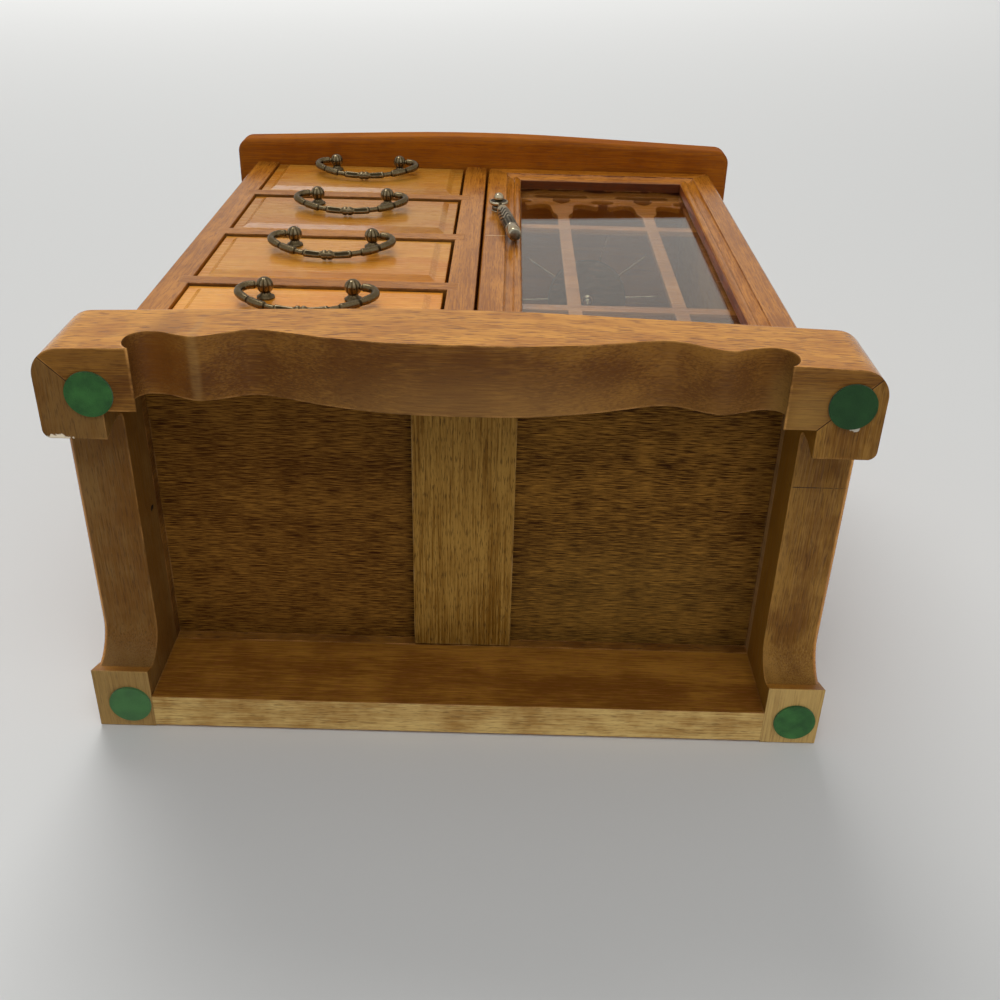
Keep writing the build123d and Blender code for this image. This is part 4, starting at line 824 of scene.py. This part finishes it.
class Skin:
    """Collects rings of points, with how proud each stands, into closed skins."""

    def __init__(self):
        self.points = []
        self.levels = []
        self.faces = []

    def band(self, rings, levels, closed):
        """Joins rings of equal count with quads, and the last to the first if it is closed."""
        first, count = len(self.points), len(rings[0])
        for ring, proud in zip(rings, levels):
            self.points.extend(ring)
            self.levels.extend(proud)
        for i in range(len(rings) if closed else len(rings) - 1):
            a, b = first + i * count, first + (i + 1) % len(rings) * count
            for k in range(count):
                n = (k + 1) % count
                self.faces.append((a + k, a + n, b + n, b + k))
        return first, count

    def tube(self, rings, levels):
        """A band with both of its ends closed by a face."""
        first, count = self.band(rings, levels, closed=False)
        last = first + (len(rings) - 1) * count
        self.faces.append(tuple(first + k for k in reversed(range(count))))
        self.faces.append(tuple(last + k for k in range(count)))

    def cast(self, name, body, material, node):
        """A smooth piece of the skin that rides on a body and takes a node's place."""
        mesh = bpy.data.meshes.new(name)
        mesh.from_pydata([tuple(p) for p in self.points], [], self.faces)
        mesh.materials.append(material)
        mesh.shade_smooth()
        mesh.update()
        piece = new_object(name, mesh)
        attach(piece, body)
        mesh.attributes.new("relief", "FLOAT", "POINT").data.foreach_set("value", self.levels)
        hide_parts(node)


def turned_rings(profile, count, relief=None):
    """Rings of a turning about Z from (radius, height) pairs; relief changes the radius locally."""
    rings = []
    for radius, height in profile:
        ring = []
        for angle in angles(count):
            r = relief(radius, height, angle) if relief else radius
            ring.append(Vector((r * math.cos(angle), r * math.sin(angle), height)))
        rings.append(ring)
    return rings


def ball_profile(radius, centre, steps, start):
    """Half section of a ball about a height on the axis, from a share of its half turn."""
    turns = [math.pi * (start + (BALL_END - start) * i / steps) for i in range(steps + 1)]
    return [(radius * math.sin(t), centre - radius * math.cos(t)) for t in turns]


def stepped(stops, at):
    """A value read from (place, value) stops, joined by straight lines."""
    for (a, low), (b, high) in zip(stops, stops[1:]):
        if at <= b:
            return low + (high - low) * max(0.0, (at - a) / (b - a))
    return stops[-1][1]


# Operators: metalwork and felt

POST_SIDES, FLANGE_PETALS = 72, 12
FLANGE_R, FLANGE_TOP, NECK_R, PIN_R = 3.5, 1.0, 1.9, 1.0
PIN_INSIDE = 2.2
LEAN_OUT = 2.7
BALL_STEPS, PIN_STEPS, CURL_STEPS, ARM_STEPS, BAIL_SIDES = 26, 14, 26, 90, 32
# How deep the cast patterns go, as a share of the radius, and how proud their plain parts and collars stand
LOBE_DEPTH, PETAL_DEPTH, SLOT_DEPTH, KNOP_DEPTH = 0.10, 0.015, 0.20, 0.09
PROUD, PLAIN_PROUD, COLLAR_PROUD = 0.95, 0.75, 0.15
# Radius of a bail: from where a pin leaves its ball, and then along the arm from the middle
CURL_STOPS = [(0.0, PIN_R), (0.05, 1.35), (0.6, 1.55), (3.0, 1.62)]
ARM_STOPS = [(0.0, 1.55), (0.6, 2.1), (1.6, 2.0), (2.2, 1.68), (2.4, 1.45), (9.4, 1.6), (9.6, 1.62), (9.9, 1.12),
             (13.6, 1.15), (13.9, 1.35), (14.2, 1.65), (19.6, 1.6), (20.1, 1.62), (20.35, 1.3), (20.8, 1.35),
             (23.0, 1.62), (27.0, 1.62)]
KNOP_END, KNOP_LOBES = 2.2, 8
SLEEVE_MIDDLE, SLEEVE_HALF, SLOT_HALF = 6.0, 3.1, 2.9
COLLARS = [(9.4, 10.2), (13.4, 14.0), (20.0, 20.9)]


def post_relief(ball, ball_at, lobes):
    """Lobes on the ball and petals on the flange of a post."""

    def radius_at(radius, height, angle):
        if height > ball_at - ball * 0.97:
            pole = 1 - min(1.0, abs(height - ball_at) / ball) ** 2
            return radius * (1 - LOBE_DEPTH * pole * grooved(lobes, angle))
        if height < FLANGE_TOP:
            return radius * (1 - PETAL_DEPTH * (1 - math.cos(FLANGE_PETALS * angle)))
        return radius

    return radius_at


def post_profile(ball, ball_at):
    """Half section of a post: domed flange, waisted neck and ball."""
    flange = [(FLANGE_R * share, height) for share, height in (
        (0.96, 0.0), (1.0, 0.25), (1.0, 0.6), (0.93, 0.95), (0.72, 1.25))]
    neck = [(NECK_R * 1.12, 1.75), (NECK_R * 0.9, 2.3)]
    start = math.asin(NECK_R * 0.9 / ball) / math.pi
    return flange + neck + ball_profile(ball, ball_at, BALL_STEPS, start)


def bail_half_path(metal):
    """Points from the pin inside a ball to the bail's middle, and where the arm and the bare bail start."""
    spacing, ball, drop, reach, shoulder = (
        getattr(metal, size) / MM for size in ("spacing", "ball", "drop", "reach", "shoulder"))
    fall = drop - shoulder
    sweep = (reach**2 + fall**2) / (2 * fall)
    centre = sweep - drop
    curl = shoulder / (1 + (centre + shoulder) / sweep)
    curl_x = reach - curl * reach / sweep
    start = spacing / 2 + ball - PIN_INSIDE
    points = [Vector((start + (curl_x - start) * i / PIN_STEPS, 0, 0)) for i in range(PIN_STEPS)]
    last = math.atan2(-shoulder + curl, reach - curl_x)
    for i in range(CURL_STEPS):
        a = math.pi / 2 + (last - math.pi / 2) * i / CURL_STEPS
        points.append(Vector((curl_x + curl * math.cos(a), 0, -curl + curl * math.sin(a))))
    arm = len(points)
    turn = math.atan2(reach, centre + shoulder)
    for i in range(ARM_STEPS + 1):
        a = turn * (1 - i / ARM_STEPS)
        points.append(Vector((sweep * math.sin(a), 0, centre - sweep * math.cos(a))))
    return points, arm, spacing / 2 + ball + 0.3


def arm_pattern(x, angle):
    """What the cast pattern leaves of a bail's radius, and how proud that stands: slots, knop and collars."""
    if abs(x - SLEEVE_MIDDLE) < SLEEVE_HALF:
        along = math.sqrt(max(0.0, 1 - ((x - SLEEVE_MIDDLE) / SLOT_HALF) ** 4))
        slot = max(0.0, along * 1.35 * (abs(math.sin(angle * 2)) ** 1.2 - 0.32))
        return 1 - SLOT_DEPTH * min(1.0, slot * 1.6), PROUD - PROUD * min(1.0, slot * 2.2)
    if x <= KNOP_END:
        groove = grooved(KNOP_LOBES, angle)
        return 1 - KNOP_DEPTH * groove * (1 if x < 1.5 else 0.3), 1.0 - 0.8 * groove
    return 1.0, COLLAR_PROUD if any(low < x < high for low, high in COLLARS) else PLAIN_PROUD


def bail_rings(points, arm, bare_from):
    """Rings of half a bail and how proud each point is."""
    curl_stops = [(bare_from + x, radius) for x, radius in CURL_STOPS]
    rings, levels = [], []
    for i, point in enumerate(points):
        ahead = (points[min(i + 1, len(points) - 1)] - points[max(i - 1, 0)]).normalized()
        side = Vector((-ahead.z, 0, ahead.x))
        base = stepped(ARM_STOPS if i >= arm else curl_stops, point.x)
        ring, proud = [], []
        for angle in angles(BAIL_SIDES):
            share, level = arm_pattern(point.x, angle) if i >= arm else (1.0, PLAIN_PROUD)
            radius = base * share
            ring.append(point + side * (radius * math.cos(angle)) + Vector((0, radius * math.sin(angle), 0)))
            proud.append(level)
        rings.append(ring)
        levels.append(proud)
    return rings, levels


class CABINET_OT_drawer_pulls(CabinetOperator, bpy.types.Operator):
    """Casts the ball-headed posts and the bails of the drawers"""

    bl_idname = "cabinet.drawer_pulls"
    bl_label = "Drawer pulls"

    def execute(self, context):
        """Builds the posts on each drawer and the bail that swings on them."""
        metal = context.scene.cabinet_metal
        brass = antique_brass("Antique brass", metal, metal.bronze)
        for drawer in DRAWERS:
            pivot = Vector(JOINTS[f"{drawer}_bail_hinge"]["pos_m"])
            self.posts(drawer, pivot, metal, brass)
            self.bail(drawer, pivot, metal, brass)
        return {"FINISHED"}

    def posts(self, drawer, pivot, metal, brass):
        """Two posts, each a turning that faces the front."""
        ball_out = (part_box(f"{drawer}_front")[0].y - pivot.y) / MM
        ball, lobes = metal.ball / MM, metal.lobes
        rings = turned_rings(post_profile(ball, ball_out), POST_SIDES, post_relief(ball, ball_out, lobes))
        levels = [
            [PROUD - 0.9 * grooved(lobes, angle) if ring[0].z > ball_out - ball else 0.45 + 0.25 * (k % 6 == 0)
             for k, angle in enumerate(angles(POST_SIDES))]
            for ring in rings]
        skin = Skin()
        for side in (-metal.spacing / 2, metal.spacing / 2):
            ball_centre = pivot + Vector((side, 0, 0))
            skin.tube([[ball_centre + Vector((p.x, ball_out - p.z, p.y)) * MM for p in ring] for ring in rings],
                      levels)
        skin.cast(f"{drawer}_posts_cast", drawer, brass, f"{drawer}_pull_posts")

    def bail(self, drawer, pivot, metal, brass):
        """The bail as one skin from pin to pin, hanging forward at rest."""
        rings, levels = bail_rings(*bail_half_path(metal))
        rings += [[Vector((-p.x, p.y, p.z)) for p in ring] for ring in reversed(rings[:-1])]
        levels += reversed(levels[:-1])
        lean = Matrix.Rotation(math.asin(LEAN_OUT / (metal.drop / MM)), 4, "X")
        skin = Skin()
        skin.tube([[pivot + (lean @ p) * MM for p in ring] for ring in rings], levels)
        skin.cast(f"{drawer}_bail_cast", f"{drawer}_pull", brass, f"{drawer}_bail")


SILVER = (0.42, 0.38, 0.29)
DROP_SWING = 8.8
DROP_AXIS = 3.7
DROP_RELIEF = 0.28
EYE_SIDES, LINK_SIDES, DROP_SIDES, STUD_SIDES = 48, 16, 96, 64
EYE_SECTION = [(1.55, 0.9), (3.2, 0.9), (3.2, 2.6), (1.55, 2.6)]
LINK_PATH = [(-1.75, -3.0), (-1.75, -4.4), (-2.1, -5.2), (-2.9, -5.5), (-DROP_AXIS, -5.6)]
STUD_PROFILE = [(3.3, 0.0), (3.4, 0.2), (3.4, 0.5), (3.1, 0.6), (1.5, 0.65), (1.5, 2.9), (3.2, 3.0), (4.2, 3.3),
                (4.55, 3.8), (4.6, 4.2), (4.45, 4.7), (4.1, 4.88), (3.7, 4.7), (3.2, 4.5), (2.0, 4.5)]
STUD_HOLLOWS = {3.7: 0.2, 3.2: 0.0, 2.0: 0.0, 1.5: 0.0}
STUD_BALL = {"radius": 2.4, "centre": 6.2, "steps": 22, "start": 0.25}
LINK_HALF_WIDE, LINK_HALF_DEEP, LINK_PROUD = 0.9, 0.8, 0.6
DROP_PROFILE = [
    (0.3, 4.95), (1.4, 5.0), (1.4, 10.6), (2.2, 11.8), (2.62, 12.7), (2.7, 13.3), (2.62, 13.9), (2.35, 14.5),
    (2.35, 16.3), (2.75, 16.9), (2.93, 17.4), *((2.95 + 0.01 * i, 17.6 + 0.327 * i) for i in range(1, 78)),
    (3.15, 43.2), (2.6, 43.6), (2.45, 44.0), (2.6, 44.4), (3.1, 44.8), (3.2, 45.3), (3.2, 49.4), (3.1, 50.0),
    (2.85, 50.4), (3.1, 50.8), (3.05, 51.3), (2.75, 51.9), (2.2, 52.4), (1.4, 52.75), (0.5, 52.9),
]
DROP_R = 3.2
FOLDS_FROM, LATTICE_FROM, LATTICE_TO, TIP_FROM = 17.5, 33.0, 43.5, 52.2
# The tip stands less proud, so it is darker: patina and a painted dark reflection.
FOLD_PITCH, FOLD_RISE, TIP_PATINA_AND_REFLECTION = 4.4, 1.15, 0.55
LATTICE_TURNS, LATTICE_RISE = 6, 1.9


def drop_height(depth, angle):
    """How proud the cast pattern stands on the drop: folds above, a lattice below, and a darker tip, patina and
    a painted dark reflection.
    """
    if FOLDS_FROM < depth < LATTICE_FROM:
        fold = abs((angle / math.pi * 2) % 1.0 - 0.5) * 2
        return 0.5 + 0.5 * math.sin(TURN * (depth / FOLD_PITCH + fold * FOLD_RISE))
    if LATTICE_FROM <= depth < LATTICE_TO:
        across, along = LATTICE_TURNS * angle, LATTICE_RISE * depth
        lattice = math.sin(across + along) * math.sin(across - along)
        return max(0.0, 1 - 2.2 * abs(lattice) ** 0.8) * 0.9 + 0.1 if lattice < 0 else abs(lattice)
    return PROUD if depth < TIP_FROM else TIP_PATINA_AND_REFLECTION


class CABINET_OT_door_pull(CabinetOperator, bpy.types.Operator):
    """Casts the ball-headed stud and the patterned drop of the door"""

    bl_idname = "cabinet.door_pull"
    bl_label = "Door pull"

    def execute(self, context):
        """Builds the stud and the drop that hangs on its neck."""
        silver = antique_brass(
            "Silvered brass", context.scene.cabinet_metal, SILVER, shine=1.0, mottle=0.3,
            hollows=(0.35, 0.85), rubs=(0.75, 1.05))
        pivot = Vector(JOINTS["door_pull_swing"]["pos_m"])
        start = Vector((pivot.x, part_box("door_stile_left")[0].y, pivot.z))
        self.stud(start, silver)
        self.drop(start, silver)
        return {"FINISHED"}

    def stud(self, start, silver):
        """Rosette, neck, dished flange and ball, facing the front."""
        profile = STUD_PROFILE + ball_profile(**STUD_BALL)
        rings = turned_rings(profile, STUD_SIDES)
        skin = Skin()
        skin.tube([[start + Vector((p.x, -p.z, p.y)) * MM for p in ring] for ring in rings],
                  [[STUD_HOLLOWS.get(radius, PROUD)] * STUD_SIDES for radius, _ in profile])
        skin.cast("door_stud_cast", "door", silver, "door_pull_post")

    def drop(self, start, silver):
        """Eye, link and cast body, hanging askew as on the door."""
        eye = [[Vector((r * math.cos(a), -out, r * math.sin(a))) for r, out in EYE_SECTION]
               for a in angles(EYE_SIDES)]
        link = [[Vector((LINK_HALF_WIDE * math.cos(a), y + LINK_HALF_DEEP * math.sin(a), z))
                 for a in angles(LINK_SIDES)] for y, z in LINK_PATH]
        body, levels = [], []
        for radius, depth in DROP_PROFILE:
            proud = [drop_height(depth, angle) for angle in angles(DROP_SIDES)]
            depths = [min(radius, DROP_R) - DROP_RELIEF * (1 - level) for level in proud]
            body.append([Vector((r * math.cos(angle), -DROP_AXIS + r * math.sin(angle), -depth))
                         for r, angle in zip(depths, angles(DROP_SIDES))])
            levels.append(proud)
        skin = Skin()
        skin.band(eye, [[LINK_PROUD] * len(EYE_SECTION)] * EYE_SIDES, closed=True)
        skin.tube(link, [[LINK_PROUD] * LINK_SIDES] * len(LINK_PATH))
        skin.tube(body, levels)
        swing = Matrix.Rotation(-math.radians(DROP_SWING), 4, "Y")
        skin.points = [start + (swing @ p) * MM for p in skin.points]
        skin.cast("door_drop_cast", "door_pull", silver, "door_pull_drop")


STEEL, BROWN = (0.55, 0.55, 0.56), (0.12, 0.06, 0.03)
# The carousel disc is darkened far below the case wood: painted shade inside the cabinet.
CAROUSEL_PAINTED_SHADE = 0.17


class CABINET_OT_fittings(CabinetOperator, bpy.types.Operator):
    """Finishes hinges, catch, strike and the carousel of hooks"""

    bl_idname = "cabinet.fittings"
    bl_label = "Fittings"

    def execute(self, context):
        """Dresses the small fittings."""
        bright = bright_brass("Bright brass", context.scene.cabinet_metal)
        for node in ("case_hinge_leaves", "door_hinge_leaves", "carousel_pivot", "carousel_finial",
                     "carousel_hooks"):
            dress(node, bright, SMOOTH)
        dress("door_strike", plain_metal("Plated steel", STEEL, 0.3))
        dress("door_catch", moulded_plastic("Brown plastic", BROWN))
        wood = context.scene.cabinet_wood
        disc = wood_finish(
            "Carousel wood", wood, seed=41.0, wear=0.0, coat=0.0, **tones(wood, "case", CAROUSEL_PAINTED_SHADE))
        dress("carousel_disc", disc, smooth=SMOOTH)
        return {"FINISHED"}


GREEN_FELT = (0.008, 0.062, 0.008), (0.03, 0.14, 0.022)
DARKER_GREEN, PALER_GREEN = (0.003, 0.036, 0.004), (0.075, 0.19, 0.06)
PAD_PATCH_REACH = 0.07


class CABINET_OT_felt_pads(CabinetOperator, bpy.types.Operator):
    """Cuts the felt pads under the feet"""

    bl_idname = "cabinet.felt_pads"
    bl_label = "Felt pads"

    def execute(self, context):
        """Dresses the pads, one darker at the front right and one paler at the back left."""
        low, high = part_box("felt_pads")
        darker_pad = soft_patch((high.x, low.y, low.z), PAD_PATCH_REACH), 0.75, DARKER_GREEN
        paler_pad = soft_patch((low.x, high.y, low.z), PAD_PATCH_REACH), 0.4, PALER_GREEN
        green = felt("Green felt", *GREEN_FELT, [darker_pad, paler_pad])
        dress("felt_pads", green, SMOOTH)
        return {"FINISHED"}


# Stage

FLOOR_HALF, BACKDROP_HALF = 4.0, 20.0
FLOOR_GAP, BACKDROP_GAP = 0.0002, 0.0004
EVEN_LIGHT, SHEEN_LIGHT = (0.97, 0.98, 1.0), (1.0, 0.93, 0.85)
SHEEN = 0.56
MIDDLE = (0, 0, 0.15)
# Each lamp: name, place, target, size, the power setting it takes, its share of that, and where it is hidden
LAMPS = [
    ("Key lamp", (-1.2, -3.5, 4.6), MIDDLE, 3.6, "key", 1.0, {"visible_glossy": False}),
    ("Window lamp", (-0.45, -1.5, 0.6), MIDDLE, 0.5, "window", 1.0, {"visible_diffuse": False}),
    ("Overhead lamp", (0.3, 0.75, 1.5), MIDDLE, 1.0, "top", 1.0, {}),
    ("Front lamp", (0.1, -1.1, -0.6), MIDDLE, 0.8, "key", 0.02, {}),
    ("Fill lamp", (0.25, 0.25, -0.75), (0, 0, 0), 0.7, "key", 0.0064, {}),
]
CAMERA_PLACE = (0.013698, HIGH.y - 0.2998425, -0.337892)
CAMERA_RIGHT = (0.99963, -0.02393, 0.01283)
CAMERA_AHEAD = (0.00112, 0.50862, 0.86099)
CAMERA_SENSOR, CAMERA_LENS, CAMERA_SHIFT_Y, CAMERA_NEAR = 36.0, 40.719, 0.01615, 0.01


def one_sided(name, tone):
    """A pale surface seen only from its front, which keeps shadows but blocks no light."""
    nodes = Finish(name)
    path = nodes.add("ShaderNodeLightPath").outputs
    mirrored = nodes.math("MAXIMUM", path["Is Glossy Ray"], path["Is Transmission Ray"])
    seen = nodes.math("MAXIMUM", path["Is Camera Ray"], mirrored)
    front = nodes.minus(1.0, nodes.add("ShaderNodeNewGeometry").outputs["Backfacing"])
    clear = nodes.add("ShaderNodeBsdfTransparent")
    nodes.see_through(nodes.times(seen, front), clear.outputs[0], nodes.shader.outputs[0])
    return nodes.surface({"Base Color": tone, "Roughness": 0.9, "Specular IOR Level": 0.1})


def stage_plane(name, material, centre, across, up, half):
    """A large square that isn't part of the cabinet."""
    corners = [tuple(Vector(centre) + s * half * Vector(across) + t * half * Vector(up))
               for s, t in ((-1, -1), (1, -1), (1, 1), (-1, 1))]
    mesh = bpy.data.meshes.new(name)
    mesh.from_pydata(corners, [], [(0, 1, 2, 3)])
    mesh.materials.append(material)
    new_object(name, mesh)


def area_lamp(name, place, target, size, power, visible):
    """A soft square lamp aimed at a point; it can be left out of the gloss, or show only there."""
    lamp = bpy.data.lights.new(name, "AREA")
    lamp.size, lamp.energy = size, power
    holder = new_object(name, lamp)
    holder.location = place
    holder.rotation_mode = "QUATERNION"
    holder.rotation_quaternion = (Vector(target) - Vector(place)).to_track_quat("-Z", "Y")
    for setting, value in visible.items():
        setattr(holder, setting, value)


def pale_world(tone, strength):
    """Even light from all round, a warmer sheen, and a pale colour where the camera sees past everything."""
    world = bpy.data.worlds.new("Even light")
    world.use_nodes = True
    world.node_tree.nodes.clear()
    nodes = Tree(world.node_tree)
    path = nodes.add("ShaderNodeLightPath").outputs
    even, sheen, seen = (
        nodes.add("ShaderNodeBackground", {"Color": light, "Strength": level}).outputs[0]
        for light, level in ((EVEN_LIGHT, strength), (SHEEN_LIGHT, SHEEN), (tone, 1.0)))
    lit = nodes.add("ShaderNodeMixShader", {0: path["Is Glossy Ray"], 1: even, 2: sheen}).outputs[0]
    both = nodes.add("ShaderNodeMixShader", {0: path["Is Camera Ray"], 1: lit, 2: seen}).outputs[0]
    nodes.add("ShaderNodeOutputWorld", {"Surface": both})
    bpy.context.scene.world = world


def camera_below_front():
    """The camera below the front, looking up under the base."""
    right, ahead = Vector(CAMERA_RIGHT).normalized(), Vector(CAMERA_AHEAD).normalized()
    up = right.cross(ahead).normalized()
    lens = bpy.data.cameras.new("Camera")
    lens.sensor_width, lens.lens = CAMERA_SENSOR, CAMERA_LENS
    lens.shift_y, lens.clip_start = CAMERA_SHIFT_Y, CAMERA_NEAR
    holder = new_object("Camera", lens)
    turn = Matrix((ahead.cross(up), up, -ahead)).transposed()
    holder.matrix_world = Matrix.Translation(CAMERA_PLACE) @ turn.to_4x4()
    return holder


class CABINET_OT_stage(CabinetOperator, bpy.types.Operator):
    """Sets out the floor, the backdrop, the lamps and the camera"""

    bl_idname = "cabinet.stage"
    bl_label = "Stage"

    def execute(self, context):
        """Builds the stage around the cabinet."""
        stage = context.scene.cabinet_stage
        pale = one_sided("Pale floor", stage.floor)
        stage_plane("floor", pale, (0, 0, LOW.z - FLOOR_GAP), (1, 0, 0), (0, 1, 0), FLOOR_HALF)
        stage_plane("backdrop", pale, (0, HIGH.y + BACKDROP_GAP, 0), (1, 0, 0), (0, 0, 1), BACKDROP_HALF)
        pale_world(stage.floor, stage.ambient)
        for name, place, target, size, setting, share, visible in LAMPS:
            area_lamp(name, place, target, size, getattr(stage, setting) * share, visible)
        bpy.context.scene.camera = camera_below_front()
        bpy.context.scene.view_settings.view_transform = "Standard"
        return {"FINISHED"}


# Panel and registration

OPERATORS = [
    CABINET_OT_case, CABINET_OT_base, CABINET_OT_plywood, CABINET_OT_drawers, CABINET_OT_door,
    CABINET_OT_drawer_pulls, CABINET_OT_door_pull, CABINET_OT_fittings, CABINET_OT_felt_pads, CABINET_OT_stage,
]
SETTINGS = {"cabinet_wood": CabinetWoodSettings, "cabinet_metal": CabinetMetalSettings,
            "cabinet_stage": CabinetStageSettings}


class CABINET_PT_sidebar(bpy.types.Panel):
    """Lists the cabinet's pieces and settings"""

    bl_idname = "CABINET_PT_sidebar"
    bl_label = "Cabinet"
    bl_space_type = "VIEW_3D"
    bl_region_type = "UI"
    bl_category = "Cabinet"

    def draw(self, context):
        """Draws the buttons and the settings."""
        for operator in OPERATORS:
            self.layout.operator(operator.bl_idname)
        for name, group in SETTINGS.items():
            box = self.layout.box()
            for setting in group.__annotations__:
                box.prop(getattr(context.scene, name), setting)


CLASSES = [*SETTINGS.values(), *OPERATORS, CABINET_PT_sidebar]


def register():
    """Registers the classes and the scene's settings."""
    for cls in CLASSES:
        bpy.utils.register_class(cls)
    for name, group in SETTINGS.items():
        setattr(bpy.types.Scene, name, PointerProperty(type=group))


def unregister():
    """Takes the settings and the classes away again."""
    for name in SETTINGS:
        delattr(bpy.types.Scene, name)
    for cls in reversed(CLASSES):
        bpy.utils.unregister_class(cls)


def main():
    """Builds the whole cabinet."""
    register()
    bpy.ops.cabinet.case()
    bpy.ops.cabinet.base()
    bpy.ops.cabinet.plywood()
    bpy.ops.cabinet.drawers()
    bpy.ops.cabinet.door()
    bpy.ops.cabinet.drawer_pulls()
    bpy.ops.cabinet.door_pull()
    bpy.ops.cabinet.fittings()
    bpy.ops.cabinet.felt_pads()
    bpy.ops.cabinet.stage()


if __name__ == "__main__":
    main()
